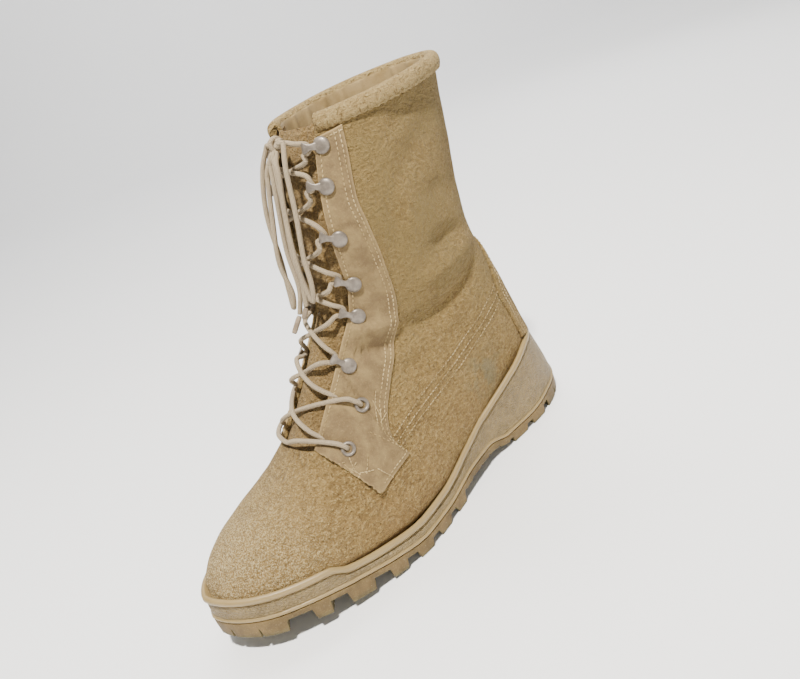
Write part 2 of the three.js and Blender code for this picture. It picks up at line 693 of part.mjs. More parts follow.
// The hook's arm, as sections from the disc towards the throat. Heights are over the leather.
const HOOK_ARM = named(["reach", "half", "low", "high"], [
  [2.5, 1.9, 0.8, 1.9],
  [6, 1.8, 0.9, 2.3],
  [10.6, 3.4, 0.9, 2.3],
]);

// The frame of a seat: x towards the throat, z straight out of the leather.
function seatFrame(seat) {
  const half = THREE.MathUtils.degToRad(seat.turn);
  const angle = seat.side > 0 ? half : 2 * Math.PI - half;
  const out = upperNormal(seat.row, angle);
  const step = 0.05 * seat.side;
  const towards = upperPoint(seat.row, angle + step).sub(upperPoint(seat.row, angle - step));
  towards.addScaledVector(out, -towards.dot(out)).normalize();
  const across = new THREE.Vector3().crossVectors(out, towards);
  return new THREE.Matrix4().makeBasis(towards, across, out).setPosition(upperPoint(seat.row, angle));
}

// A turned solid from rows of [radius, height], standing on a seat.
function turned(seat, profile, sides) {
  const points = [...profile, profile[0]].map(([radius, height]) => new THREE.Vector2(radius, height));
  const geometry = new THREE.LatheGeometry(points, sides);
  geometry.applyMatrix4(new THREE.Matrix4().makeRotationX(Math.PI / 2));
  return rightWayOut(geometry.applyMatrix4(seatFrame(seat)));
}

function makeEyelet(seat) {
  const { bore, barrel, flange, lift, tall, sides } = EYELET;
  const under = seat.base + lift;
  const inner = -LEATHER + 0.2;
  const profile = [
    [bore, inner],
    [barrel, inner],
    [barrel, under],
    [flange, under],
    [flange, under + tall],
    [bore, under + tall],
  ];
  return turned(seat, profile, sides);
}

function holeAt(seat) {
  const reach = 12;
  const radius = EYELET.barrel + EYELET.clearance;
  return turned(seat, [[0, -reach], [radius, -reach], [radius, reach], [0, reach]], EYELET.sides);
}

function allHoles() {
  return [...EYELET_SEATS, ...VENT_SEATS].map(holeAt);
}

function makeHook(seat) {
  const under = seat.base + HOOK.lift;
  const profile = [
    [0, under],
    [HOOK.disc, under],
    [HOOK.disc, under + HOOK.rim],
    [0, under + HOOK.dome],
  ];
  const frame = seatFrame(seat);
  const rings = HOOK_ARM.map(({ reach, half, low, high }) =>
    [[half, low], [half, high], [-half, high], [-half, low]].map(([side, height]) =>
      new THREE.Vector3(reach, side, seat.base + height).applyMatrix4(frame),
    ),
  );
  return turned(seat, profile, HOOK.sides).add(loft(rings));
}

// ---------------------------------------------------------------- lace

const CORD = 3; // diameter of the lace
const CORD_SIDES = 8;
const CROSSING_SIDES = 5;
const CROSSING_STEPS = 4;
const RIDGE_STEP = 0.05; // rows between the places tried along the ridge
const CROSSING_LIFT = -0.6; // of the lace's centre over the upper's outside, between the facings
const MIDDLE_RISE = 0.6; // how much further out it passes over the ridge
const EYELET_RISE = 2; // and all along a crossing that starts at an eyelet
const UNDER_ARM = 10; // where a hook holds the lace, along its arm
const BESIDE_EYELET = 6.6; // where the lace leaves an eyelet, towards the throat
const EYELET_LIFT = FACED + CORD / 2 + 0.6;
const EDGE_ROOM = 3.4; // from the throat's edge to the lace's centre beside it

// A tube along a smooth curve.
function cordAlong(points, sides, steps, diameter = CORD) {
  const circle = new THREE.Shape(
    Array.from({ length: sides }, (_, k) => {
      const turn = (2 * Math.PI * k) / sides;
      return new THREE.Vector2(Math.cos(turn), Math.sin(turn)).multiplyScalar(diameter / 2);
    }),
  );
  const path = new THREE.CatmullRomCurve3(points, false, "centripetal");
  return rightWayOut(new THREE.ExtrudeGeometry(circle, { steps, bevelEnabled: false, extrudePath: path }));
}

// Where the lace is held on one side, from the bottom eyelet to the top hook.
function holds(side) {
  const eyelets = EYELET_SEATS.filter((seat) => seat.side === side).map((seat) =>
    new THREE.Vector3(BESIDE_EYELET, 0, EYELET_LIFT).applyMatrix4(seatFrame(seat)),
  );
  const hooks = HOOK_SEATS.filter((seat) => seat.side === side).map((seat) =>
    new THREE.Vector3(UNDER_ARM, 0, CROSSING_LIFT).applyMatrix4(seatFrame(seat)),
  );
  return [...eyelets, ...hooks];
}

// Rows of UPPER_SECTIONS at the holds.
const HOLD_ROWS = [...EYELET_SEATS, ...HOOK_SEATS].filter((seat) => seat.side > 0).map((seat) => seat.row);

// A point over the ridge or shin. across: sideways. lift: outwards.
function overRidge(row, across, lift) {
  return overUpper(row, Math.PI, lift).add(new THREE.Vector3(across, 0, 0));
}

// The row where the ridge passes nearest to a point, seen from the side.
function ridgeRow(point) {
  let best = { row: THROAT[0].row, gap: Infinity };
  for (let row = THROAT[0].row; row < UPPER_SECTIONS.length - 1; row += RIDGE_STEP) {
    const ridge = upperPoint(row, Math.PI);
    const gap = Math.hypot(ridge.y - point.y, ridge.z - point.z);
    if (gap < best.gap) best = { row, gap };
  }
  return best.row;
}

function makeLace() {
  const [outer, inner] = [holds(1), holds(-1)];
  const across = (from, to, raised) => {
    const over = (share, side) => {
      const row = ridgeRow(from.clone().lerp(to, share));
      if (!side) return overRidge(row, 0, CROSSING_LIFT + MIDDLE_RISE + raised);
      return overRidge(row, side * (throatHalf(row) - EDGE_ROOM), CROSSING_LIFT + raised);
    };
    const side = Math.sign(from.x - to.x);
    const path = [from, over(0.2, side), over(0.5, 0), over(0.8, -side), to];
    return cordAlong(path, CROSSING_SIDES, CROSSING_STEPS);
  };
  const strands = [across(outer[0], inner[0], EYELET_RISE)];
  for (let i = 1; i < outer.length; i += 1) {
    const raised = HOLD_ROWS[i - 1] < HOOK_SEATS[0].row ? EYELET_RISE : 0;
    strands.push(across(outer[i - 1], inner[i], raised));
    strands.push(across(inner[i - 1], outer[i], raised));
  }
  return joined(strands);
}

// The bow that hangs in front of the throat, as rows [across, row of UPPER_SECTIONS, lift].
const KNOT_AT = { row: 21.2, lift: 7.5 };
const KNOT = { half: 6, round: 3.4, wrap: 4.3, wraps: [0], width: 3, sides: 8 };
const BOW = [
  {
    name: "lace_loop_1",
    steps: 24,
    path: [[-9, 21.2, 8], [-13, 20, 10], [-15.5, 17.6, 10.5], [-13.5, 15, 9.2], [-14.5, 12.8, 9.2],
      [-11.5, 11.6, 9.6], [-8.6, 12.8, 10.5], [-9.4, 15, 13], [-7.2, 17.4, 12], [-6.4, 19.6, 11.5]],
  },
  {
    name: "lace_loop_2",
    steps: 24,
    path: [[9, 21.2, 8], [12.5, 20, 10.5], [14.5, 17.4, 9.5], [12, 15.2, 9], [13, 13.6, 9.2],
      [10.4, 12.4, 9.6], [7.6, 13.6, 10.5], [8.6, 15.8, 12.6], [6.6, 17.8, 11.5], [6.4, 19.6, 11.5]],
  },
  {
    name: "lace_end_1",
    steps: 14,
    path: [[-2.2, 20.2, 11], [-1.2, 18, 10.5], [-3.6, 15.6, 9.4], [-1.6, 13.2, 9.4], [-3.4, 11.2, 10]],
    aglet: [[-3.55, 11.05, 10.1], [-4, 10.6, 10.3], [-4.5, 10.1, 10.5]],
  },
  {
    name: "lace_end_2",
    steps: 14,
    path: [[2.2, 20.2, 11], [3.6, 18, 10], [1.8, 15.6, 9.4], [3.8, 13.6, 9.4], [2.4, 12, 9.8]],
    aglet: [[2.35, 11.85, 9.85], [2.0, 11.4, 10], [1.6, 10.9, 10.1]],
  },
];
const AGLET_STEPS = 2;

function bowCord(path, steps) {
  return cordAlong(path.map(([across, row, lift]) => overRidge(row, across, lift)), CORD_SIDES, steps);
}

// The knot: a short bar across the ridge with a turn of lace round it.
function makeKnot() {
  const { half, round, wrap, wraps, width, sides } = KNOT;
  const at = overRidge(KNOT_AT.row, 0, KNOT_AT.lift);
  const out = upperNormal(KNOT_AT.row, Math.PI);
  const across = new THREE.Vector3(1, 0, 0);
  const frame = new THREE.Matrix4().makeBasis(out, new THREE.Vector3().crossVectors(across, out), across);
  frame.setPosition(at);
  const lathe = (rows) =>
    rightWayOut(
      new THREE.LatheGeometry([...rows, rows[0]].map(([radius, along]) => new THREE.Vector2(radius, along)), sides)
        .applyMatrix4(new THREE.Matrix4().makeRotationX(Math.PI / 2))
        .applyMatrix4(frame),
    );
  const bar = lathe([[0, -half], [round * 0.7, -half], [round, 0], [round * 0.7, half], [0, half]]);
  const turns = wraps.map((along) => lathe([[1, along - width], [wrap, along - 0.7 * width], [wrap, along + 0.7 * width], [1, along + width]]));
  return bar.add(joined(turns));
}

// ---------------------------------------------------------------- the boot

const LOOKS = {
  suede: { color: 0xb5956d, roughness: 0.95, metalness: 0 },
  smooth: { color: 0xa98a62, roughness: 0.7, metalness: 0 },
  cup: { color: 0xa89b78, roughness: 0.55, metalness: 0 },
  rubber: { color: 0x8a7448, roughness: 0.6, metalness: 0 },
  footbed: { color: 0x3a3833, roughness: 0.9, metalness: 0 },
  metal: { color: 0x8d7d6a, roughness: 0.4, metalness: 0.3 },
  cord: { color: 0x9c8d78, roughness: 0.9, metalness: 0 },
};

const boot = new THREE.Group();

function place(name, look, solid) {
  const mesh = new THREE.Mesh(geometryOf(solid), new THREE.MeshStandardMaterial(LOOKS[look]));
  mesh.name = name;
  boot.add(mesh);
}

place("outsole", "rubber", makeOutsole());
place("midsole", "cup", makeMidsole());
place("insole", "footbed", makeInsole());
place("upper", "suede", makeUpper());
place("tongue", "suede", makeTongue());
place("facing_outer", "smooth", makeFacing(1));
place("facing_inner", "smooth", makeFacing(-1));
place("backstay", "suede", makeBackstay());
place("collar", "suede", makeCollar());
EYELET_SEATS.forEach((seat, i) => place(`eyelet_${i + 1}`, "metal", makeEyelet(seat)));
VENT_SEATS.forEach((seat, i) => place(`vent_${i + 1}`, "metal", makeEyelet(seat)));
HOOK_SEATS.forEach((seat, i) => place(`hook_${i + 1}`, "metal", makeHook(seat)));
place("lace_crossings", "cord", makeLace());

const extent = new THREE.Box3().setFromObject(boot);

place("lace_knot", "cord", makeKnot());
BOW.forEach(({ name, path, steps, aglet }) => {
  place(name, "cord", bowCord(path, steps));
  if (aglet) place(name.replace("lace_end", "aglet"), "cord", bowCord(aglet, AGLET_STEPS));
});
boot.position.set(-(extent.min.x + extent.max.x) / 2, -(extent.min.y + extent.max.y) / 2, -extent.min.z);

export default boot;
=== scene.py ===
"""Left combat boot: fine surfaces, stitching, hardware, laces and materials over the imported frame.

Laid out as an add-on that is run as a script. Sizes are in millimetres until a mesh is made.
Forward is measured from the heel back towards the toe, which lies along -Y; the outer side is +X.
"""

import math

import bmesh
import bpy
import numpy as np
from mathutils import Matrix, Vector


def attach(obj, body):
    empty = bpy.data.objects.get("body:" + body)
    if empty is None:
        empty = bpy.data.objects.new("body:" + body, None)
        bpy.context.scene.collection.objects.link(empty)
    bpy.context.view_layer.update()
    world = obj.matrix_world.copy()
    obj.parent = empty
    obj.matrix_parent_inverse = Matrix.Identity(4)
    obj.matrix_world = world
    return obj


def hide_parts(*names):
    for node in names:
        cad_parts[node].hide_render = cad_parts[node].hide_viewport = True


bl_info = {
    "name": "Combat boot",
    "version": (1, 0, 0),
    "blender": (4, 5, 0),
    "location": "View3D > Sidebar > Boot",
    "description": "Builds a left combat boot over its packed frame",
    "category": "Object",
}

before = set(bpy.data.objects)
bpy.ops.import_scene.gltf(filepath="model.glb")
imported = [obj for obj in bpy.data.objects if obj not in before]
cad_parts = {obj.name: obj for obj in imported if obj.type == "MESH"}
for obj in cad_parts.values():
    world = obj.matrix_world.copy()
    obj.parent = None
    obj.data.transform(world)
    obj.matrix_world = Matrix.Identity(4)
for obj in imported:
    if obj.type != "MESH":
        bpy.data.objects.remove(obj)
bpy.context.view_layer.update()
MM = 0.001

# ------------------------------------------------------------------ sizes of the boot

LENGTH, BALL_WIDTH, SHAFT_HEIGHT = 307.0, 108.0, 262.0
LEATHER = 2.4
GAP = 0.3
OVERLAY = 1.5
FACED = GAP + OVERLAY
SIDE_SHIFT = -0.432  # sideways move that centres the sole in the frame
CORD, CORD_SIDES = 3.0, 12

# Plan of the sole round from the heel back along the outer side: share of LENGTH, of BALL_WIDTH.
SOLE_PLAN = np.array([
    (0, 0), (0.046, 0.231), (0.156, 0.347), (0.345, 0.347), (0.606, 0.5), (0.775, 0.444),
    (0.886, 0.338), (0.958, 0.194), (1, -0.04), (0.957, -0.246), (0.884, -0.368), (0.73, -0.492),
    (0.521, -0.389), (0.375, -0.3), (0.169, -0.342), (0.046, -0.231),
])

# Heights of the sole at shares of LENGTH.
SOLE_COLUMNS = ("along", "ground", "parting", "floor", "bead")
SOLE_HEIGHTS = (
    (0, 1.5, 12, 28, 60), (0.04, 0, 12, 27.5, 60.5), (0.1, 0, 11.5, 26.5, 59),
    (0.2, 0, 8.5, 25, 50.5), (0.28, 0, 8.5, 24, 42.5), (0.34, 0, 13, 22, 36.5),
    (0.42, 0, 13.6, 18.8, 29.8), (0.53, 0, 9.6, 15, 23), (0.62, 0, 9.6, 13.8, 22.6),
    (0.69, 1.6, 12.4, 16, 24.8), (0.77, 4.4, 16.6, 20.2, 28.4), (0.785, 4.9, 17.2, 20.9, 29.7),
    (0.815, 6.2, 18.8, 22.6, 35), (0.87, 8.8, 21, 24.8, 37), (0.94, 10.8, 23, 27, 39.6),
    (1, 13.7, 25, 29, 42),
)

# Sections of the upper, fanned out from the toe round the instep to the collar.
SECTION_COLUMNS = (
    "frontAt", "frontUp", "backAt", "backUp", "outer", "inner", "ridge", "keel", "widest", "low", "high",
)
UPPER_SECTIONS = (
    (0.986, 0.133, 0.986, 0.133, -0.04, -0.04, -0.04, -0.04, 0.4, 0.6, 0.9),
    (0.975, 0.166, 0.97, 0.114, 0.09, -0.165, -0.045, -0.04, 0.4, 0.6, 0.9),
    (0.948, 0.2, 0.945, 0.106, 0.178, -0.234, -0.05, -0.04, 0.35, 0.52, 0.88),
    (0.906, 0.225, 0.906, 0.1, 0.262, -0.306, -0.06, -0.035, 0.32, 0.44, 0.9),
    (0.85, 0.241, 0.85, 0.093, 0.342, -0.378, -0.07, -0.025, 0.3, 0.38, 0.95),
    (0.793, 0.265, 0.782, 0.079, 0.402, -0.426, -0.075, -0.01, 0.26, 0.36, 1),
    (0.741, 0.298, 0.704, 0.063, 0.442, -0.45, -0.065, 0, 0.23, 0.35, 1.08),
    (0.696, 0.344, 0.612, 0.053, 0.46, -0.448, -0.055, 0, 0.2, 0.35, 1.16),
    (0.655, 0.41, 0.515, 0.059, 0.438, -0.402, -0.045, 0.02, 0.19, 0.37, 1.2),
    (0.612, 0.472, 0.404, 0.073, 0.378, -0.344, -0.03, 0.03, 0.24, 0.4, 1.1),
    (0.577, 0.523, 0.28, 0.092, 0.334, -0.324, -0.02, 0.02, 0.34, 0.42, 0.95),
    (0.55, 0.563, 0.143, 0.1, 0.324, -0.318, -0.01, 0.01, 0.42, 0.5, 0.85),
    (0.537, 0.595, 0.046, 0.111, 0.33, -0.33, 0, 0, 0.45, 0.8, 0.8),
    (0.53, 0.63, 0.042, 0.155, 0.338, -0.338, 0, 0, 0.47, 0.86, 0.78),
    (0.526, 0.665, 0.057, 0.214, 0.348, -0.348, 0, 0, 0.48, 0.86, 0.76),
    (0.521, 0.7, 0.077, 0.296, 0.36, -0.36, 0, 0, 0.49, 0.84, 0.75),
    (0.515, 0.738, 0.1, 0.405, 0.371, -0.371, 0, 0, 0.5, 0.82, 0.74),
    (0.507, 0.78, 0.129, 0.508, 0.382, -0.382, 0, 0, 0.5, 0.8, 0.74),
    (0.498, 0.82, 0.147, 0.603, 0.389, -0.389, 0, 0, 0.5, 0.76, 0.74),
    (0.488, 0.858, 0.143, 0.693, 0.394, -0.394, 0, 0, 0.5, 0.77, 0.75),
    (0.478, 0.893, 0.131, 0.782, 0.397, -0.397, 0, 0, 0.5, 0.78, 0.76),
    (0.467, 0.93, 0.118, 0.878, 0.4, -0.4, 0, 0, 0.5, 0.8, 0.78),
    (0.455, 0.967, 0.101, 0.988, 0.402, -0.402, 0, 0, 0.5, 0.82, 0.8),
)
LAST_ROW = len(UPPER_SECTIONS) - 1

# Half width of the throat at rows of UPPER_SECTIONS.
THROAT = ((6.6, 16), (6.9, 19), (8, 18), (9.5, 16.5), (12, 18), (14, 20.5), (22, 21.5))

# A facing, as pairs: row at the throat's edge, then forward and up of the outer edge.
FACING_PAIRS = (
    (6.88, 201.8, 50.9), (6.98, 199, 51.6), (7.25, 187.2, 54.8), (7.75, 171.4, 58.2), (8.0, 174, 63.5),
    (8.35, 175.5, 71), (8.8, 164.6, 89.6), (9.65, 151, 104.7), (10.9, 138.7, 121.3),
    (12.1, 133.9, 131.5), (14.2, 131.5, 152.6), (15.2, 132.4, 171), (16.9, 133.9, 193.4),
    (17.9, 134.1, 210.2), (20.2, 128.5, 235), (21.2, 125.8, 247.5),
)

# Seams of the counter seen from the side: forward, up.
SEAM_UPPER = ((177.7, 70.3), (159.2, 75.3), (129.9, 83.3), (106.9, 89.8), (84.3, 99), (66, 107), (50, 113))
SEAM_LOWER = ((173.6, 64.3), (155.1, 68.4), (125.5, 74.2), (101.9, 80.4), (77.9, 89.5), (62, 96), (50, 101))
SEAM_MIDDLE = tuple(((a + c) / 2, (b + d) / 2) for (a, b), (c, d) in zip(SEAM_UPPER, SEAM_LOWER))
BACKSTAY_EDGE = ((41.5, 62.5), (45, 73.2), (49.5, 89.5), (54, 103), (51, 122), (44, 142), (34, 158))

# Folds of the upper seen from the side, as side, depth, width and path.
# side: 1 outer, -1 inner, 0 both. depth is inwards.
FOLDS = (
    (1, 4.6, 7.5, ((146, 126), (124, 119), (104, 121), (84, 127), (62, 139))),
    (1, 3.6, 6.5, ((102, 161), (86, 163), (66, 158))),
    (1, -3.0, 6, ((118, 144), (92, 147), (62, 150))),
    (1, 4.2, 4.5, ((168, 125), (152, 119), (138, 117))),
    (1, -3.2, 4.5, ((164, 138), (150, 132), (137, 129))),
    (1, 2.2, 9, ((120, 205), (96, 215), (70, 236))),
    (1, 1.8, 6, ((128, 150), (122, 176), (118, 198))),
    (1, 1.5, 7, ((60, 180), (78, 192), (92, 190))),
    (1, 1.8, 7, ((150, 92), (136, 98), (118, 101))),
    (1, 1.5, 5, ((196, 44), (182, 44), (166, 46))),
    (1, 1.6, 6, ((110, 236), (90, 240), (70, 246))),
    (-1, 4, 8, ((144, 122), (120, 116), (100, 121), (70, 132))),
    (-1, 3, 7, ((112, 158), (88, 166), (62, 160))),
    (-1, 2.0, 8, ((128, 196), (100, 206), (72, 226))),
    (-1, 2.0, 6, ((168, 74), (150, 80), (128, 84))),
    (0, 2.0, 5, ((214, 62), (204, 46), (200, 36))),
    (0, 1.5, 4.5, ((226, 66), (218, 48), (214, 38))),
    (0, -1.3, 4.5, ((220, 66), (211, 48), (207, 38))),
)

# Seats of the hardware: row of UPPER_SECTIONS, degrees from the floor up, side, height of the leather.
EYELET_ROWS = ((7.47, 136), (8.67, 135.5))
EYELET_SEATS = tuple((row, turn, side, FACED) for side in (1, -1) for row, turn in EYELET_ROWS)
VENT_SEATS = ((8.9, 94, -1, 0), (9.7, 90, -1, 0))
HOOK_ROWS = ((9.55, 146.5), (11.63, 149.5), (13.75, 148.5), (16.29, 149.5), (18.78, 151), (20.8, 150.5))
HOOK_SEATS = tuple((row, turn, side, FACED) for row, turn in HOOK_ROWS for side in (1, -1))

# Lugs at the edge of the sole, as side, from, to, reach and sweep.
# from, to: shares of LENGTH. reach: inwards. sweep: towards the heel.
SIDE_LUGS = (
    (1, 0.836, 0.874, 26, 20), (1, 0.749, 0.807, 27, 18), (1, 0.676, 0.714, 26, 13),
    (1, 0.606, 0.645, 24, 7), (1, 0.54, 0.577, 22, 5), (1, 0.476, 0.51, 20, 3),
    (-1, 0.84, 0.88, 22, -14), (-1, 0.765, 0.81, 24, -15), (-1, 0.695, 0.737, 26, -14),
    (-1, 0.625, 0.667, 25, -11), (-1, 0.555, 0.595, 22, -9), (-1, 0.49, 0.525, 18, -7),
    (1, 0.222, 0.27, 25, 2), (1, 0.15, 0.196, 26, 4), (1, 0.083, 0.124, 24, 7),
    (-1, 0.225, 0.27, 24, 1), (-1, 0.155, 0.198, 25, 3), (-1, 0.09, 0.13, 23, 5),
)
# Lugs of the middle. along: share of LENGTH. across, long, wide in millimetres, turn in degrees.
MIDDLE_LUGS = (
    (0.515, 0, 13, 14, 45), (0.575, 2, 13, 13, 45), (0.635, 0, 13, 13, 45), (0.695, -2, 13, 13, 45),
    (0.755, -4, 13, 13, 45), (0.14, 0, 12, 12, 45), (0.21, 0, 10, 15, 0),
)
# Rings of lugs at toe and heel: middle, across, inside, outside, spread in degrees, pieces, end.
LUG_RINGS = (
    (0.85, -3, 27, 70, 60, 5, 1), (0.85, -3, 13, 25, 70, 3, 1),
    (0.145, 0, 26, 60, 54, 4, -1), (0.145, 0, 12, 23, 60, 2, -1),
)
SHANK = {"from": 0.285, "to": 0.47, "count": 5, "reach": 21, "space": 1.6}
RUBBER, SHANK_RISE = 4.0, 1.6
HEEL_LEAN, HEEL_LEAN_FROM, HEEL_LEAN_REACH = 14.0, 16.0, 0.33

# The bow: across, row of UPPER_SECTIONS, lift over the ridge.
BOW = {
    "lace_loop_1": (
        (-9, 21.2, 8), (-13, 20, 10), (-15.5, 17.6, 10.5), (-13.5, 15, 9.2), (-14.5, 12.8, 9.2),
        (-11.5, 11.6, 9.6), (-8.6, 12.8, 10.5), (-9.4, 15, 13), (-7.2, 17.4, 12), (-6.4, 19.6, 11.5),
    ),
    "lace_loop_2": (
        (9, 21.2, 8), (12.5, 20, 10.5), (14.5, 17.4, 9.5), (12, 15.2, 9), (13, 13.6, 9.2),
        (10.4, 12.4, 9.6), (7.6, 13.6, 10.5), (8.6, 15.8, 12.6), (6.6, 17.8, 11.5), (6.4, 19.6, 11.5),
    ),
    "lace_end_1": (
        (-2.2, 20.2, 11), (-1.2, 18, 10.5), (-3.6, 15.6, 9.4), (-1.6, 13.2, 9.4), (-3.4, 11.2, 10),
    ),
    "lace_end_2": ((2.2, 20.2, 11), (3.6, 18, 10), (1.8, 15.6, 9.4), (3.8, 13.6, 9.4), (2.4, 12, 9.8)),
}
AGLETS = {
    "aglet_1": ((-3.55, 11.05, 10.1), (-4, 10.6, 10.3), (-4.5, 10.1, 10.5)),
    "aglet_2": ((2.35, 11.85, 9.85), (2.0, 11.4, 10), (1.6, 10.9, 10.1)),
}
KNOT_ROW, KNOT_LIFT = 21.2, 7.5

# Area lights: name, place in metres, width, watts, colour, and the point they face.
BOOT_MIDDLE = (0.01, 0.02776, 0.10765)
LIGHTS = (
    ("key", (0.46, -0.36, 1.5), 0.1, 62, (1, 0.965, 0.9), BOOT_MIDDLE),
    ("fill", (1.3, -0.4, 0.5), 1.2, 3.5, (1, 0.97, 0.92), BOOT_MIDDLE),
    ("rim", (-0.4, 1.3, 0.9), 0.8, 5, (1, 1, 1), BOOT_MIDDLE),
    ("wash", (-1.4, 1.0, 3.4), 2.4, 150, (1, 1, 1), (-3.2, 2.2, 0.4)),
)
SKY_STRENGTH = 0.26
# The floor in metres: it runs flat away from the camera, then bends up into a wall.
FLOOR = {"near": -8.0, "bend": 2.5, "radius": 1.5, "height": 9.0, "half_width": 9}
AWAY, ALONG = np.array([-0.826, 0.563, 0]), np.array([0.563, 0.826, 0])  # from and across the camera's view

CAMERA = {"eye": (350.73, -204.78, 292.87), "look": (10.0, 27.76, 107.65), "roll": -21.07, "lens": 31.5}

# ------------------------------------------------------------------ curves and surfaces


def smooth(at, value):
    """A smooth function through value at at, which never overshoots."""
    at, value = np.asarray(at, float), np.asarray(value, float)
    rise = np.diff(value) / np.diff(at)
    slope = np.empty_like(value)
    slope[0], slope[-1] = rise[0], rise[-1]
    a, b = rise[:-1], rise[1:]
    safe = np.where(a * b > 0, a + b, 1.0)
    slope[1:-1] = np.where(a * b > 0, 2 * a * b / safe, 0.0)

    def curve(x):
        x = np.asarray(x, float)
        i = np.clip(np.searchsorted(at, x, side="left") - 1, 0, len(rise) - 1)
        span = at[i + 1] - at[i]
        t = np.clip((x - at[i]) / span, 0, 1)
        ease = t * t * (3 - 2 * t)
        lead = t * (1 - t) * (1 - t) * slope[i]
        trail = t * t * (t - 1) * slope[i + 1]
        return value[i] + (value[i + 1] - value[i]) * ease + span * (lead + trail)

    return curve


def columns(names, rows, key=None):
    """One smooth function for each named column of a table."""
    table = np.array(rows, float)
    at = table[:, names.index(key)] if key else np.arange(len(table))
    return {name: smooth(at, table[:, i]) for i, name in enumerate(names)}


SOLE = columns(SOLE_COLUMNS, SOLE_HEIGHTS, "along")
SECTION = columns(SECTION_COLUMNS, UPPER_SECTIONS)
THROAT_WIDTH = smooth(*np.array(THROAT, float).T)
THROAT_FRONT, THROAT_ROUND = 6.58, 0.36  # row of the throat's front, and rows that its round end takes
HALVINGS = 26  # steps of a search by halves, enough for a ten thousandth of a millimetre


def spot(forward, across, up):
    """Points in the frame, in millimetres, from forward, sideways and height."""
    forward, across, up = np.broadcast_arrays(forward, across, up)
    return np.stack([across + SIDE_SHIFT, LENGTH / 2 - forward, up], axis=-1)


def forward_of(points):
    return LENGTH / 2 - points[..., 1]


def unit(v):
    return v / np.maximum(np.linalg.norm(v, axis=-1, keepdims=True), 1e-12)


def step_between(low, high, x):
    """0 below low, 1 above high, smooth between."""
    t = np.clip((x - low) / (high - low), 0, 1)
    return t * t * (3 - 2 * t)


def upper_point(row, angle):
    """Outside of the upper. angle is 0 at the floor or heel and pi at the ridge, negative inside."""
    row, angle = np.broadcast_arrays(np.asarray(row, float), np.asarray(angle, float))
    angle = (angle + math.pi) % (2 * math.pi) - math.pi
    half = np.abs(angle)
    c = {name: curve(row) for name, curve in SECTION.items()}
    below = half < math.pi / 2
    turn = -np.cos(half)
    part = c["widest"] + turn * np.where(below, c["widest"], 1 - c["widest"])
    out = np.clip(np.sin(half), 0, 1) ** np.where(below, c["low"], c["high"])
    middle = c["keel"] + (c["ridge"] - c["keel"]) * part
    at_widest = c["keel"] + (c["ridge"] - c["keel"]) * c["widest"]
    edge = np.where(angle >= 0, c["outer"], c["inner"])
    forward = (c["backAt"] + (c["frontAt"] - c["backAt"]) * part) * LENGTH
    up = (c["backUp"] + (c["frontUp"] - c["backUp"]) * part) * SHAFT_HEIGHT
    return spot(forward, (middle + (edge - at_widest) * out) * BALL_WIDTH, up)


def upper_normal(row, angle):
    step = 0.02
    row, angle = np.broadcast_arrays(np.asarray(row, float), np.asarray(angle, float))
    round_ = upper_point(row, angle + step) - upper_point(row, angle - step)
    onward = upper_point(np.minimum(row + step, LAST_ROW), angle)
    onward = onward - upper_point(np.maximum(row - step, 0), angle)
    return unit(np.cross(onward, round_))


def over_upper(row, angle, lift):
    return upper_point(row, angle) + upper_normal(row, angle) * np.asarray(lift)[..., None]


def over_ridge(row, across, lift):
    points = over_upper(row, np.pi, np.asarray(lift, float))
    points[..., 0] += across
    return points


def throat_half(row):
    """Half width of the throat, which ends in a round front."""
    ahead = 1 - np.clip((row - THROAT_FRONT) / THROAT_ROUND, 0, 1)
    return THROAT_WIDTH(np.maximum(row, 6.6)) * np.sqrt(1 - ahead**2)


def angle_beside_ridge(row, half, start):
    """Angle between start and the ridge where the upper lies half wide beside its ridge."""
    low, high = np.full(row.shape, start), np.full(row.shape, math.pi)
    ridge = upper_point(row, np.full(row.shape, math.pi))[..., 0]
    for _ in range(HALVINGS):
        middle = (low + high) / 2
        wide = upper_point(row, middle)[..., 0] - ridge > half
        low, high = np.where(wide, middle, low), np.where(wide, high, middle)
    return low


def throat_angle(row):
    """Angle of the throat's edge at rows behind its front."""
    row = np.asarray(row, float)
    return angle_beside_ridge(row, throat_half(row), 0.55 * math.pi)


def locate(forward, up, side=1):
    """Row and angle of points of the upper's side, seen from the side."""
    forward, up = np.asarray(forward, float), np.asarray(up, float)
    rows, angles = np.linspace(5, LAST_ROW, 260), np.linspace(0.12, 0.97, 200) * math.pi
    grid = upper_point(rows[:, None], side * angles[None, :])
    flat = np.stack([forward_of(grid).ravel(), grid[..., 2].ravel()], -1)
    target = np.stack([forward.ravel(), up.ravel()], -1)
    best = np.array([np.argmin(((flat - t) ** 2).sum(-1)) for t in target])
    row, angle = rows[best // 200], side * angles[best % 200]
    for _ in range(6):
        here = upper_point(row, angle)
        by_row = (upper_point(row + 0.01, angle) - here) / 0.01
        by_angle = (upper_point(row, angle + 0.01) - here) / 0.01
        a, b = -by_row[:, 1], by_row[:, 2]
        c, d = -by_angle[:, 1], by_angle[:, 2]
        miss = target - np.stack([forward_of(here), here[:, 2]], -1)
        det = a * d - b * c
        det = np.where(np.abs(det) < 1, np.sign(det + 1e-9), det)
        row = row + np.clip((miss[:, 0] * d - miss[:, 1] * c) / det, -0.3, 0.3)
        angle = angle + np.clip((miss[:, 1] * a - miss[:, 0] * b) / det, -0.1, 0.1)
        row = np.clip(row, 5, LAST_ROW)
    return row.reshape(forward.shape), angle.reshape(forward.shape)


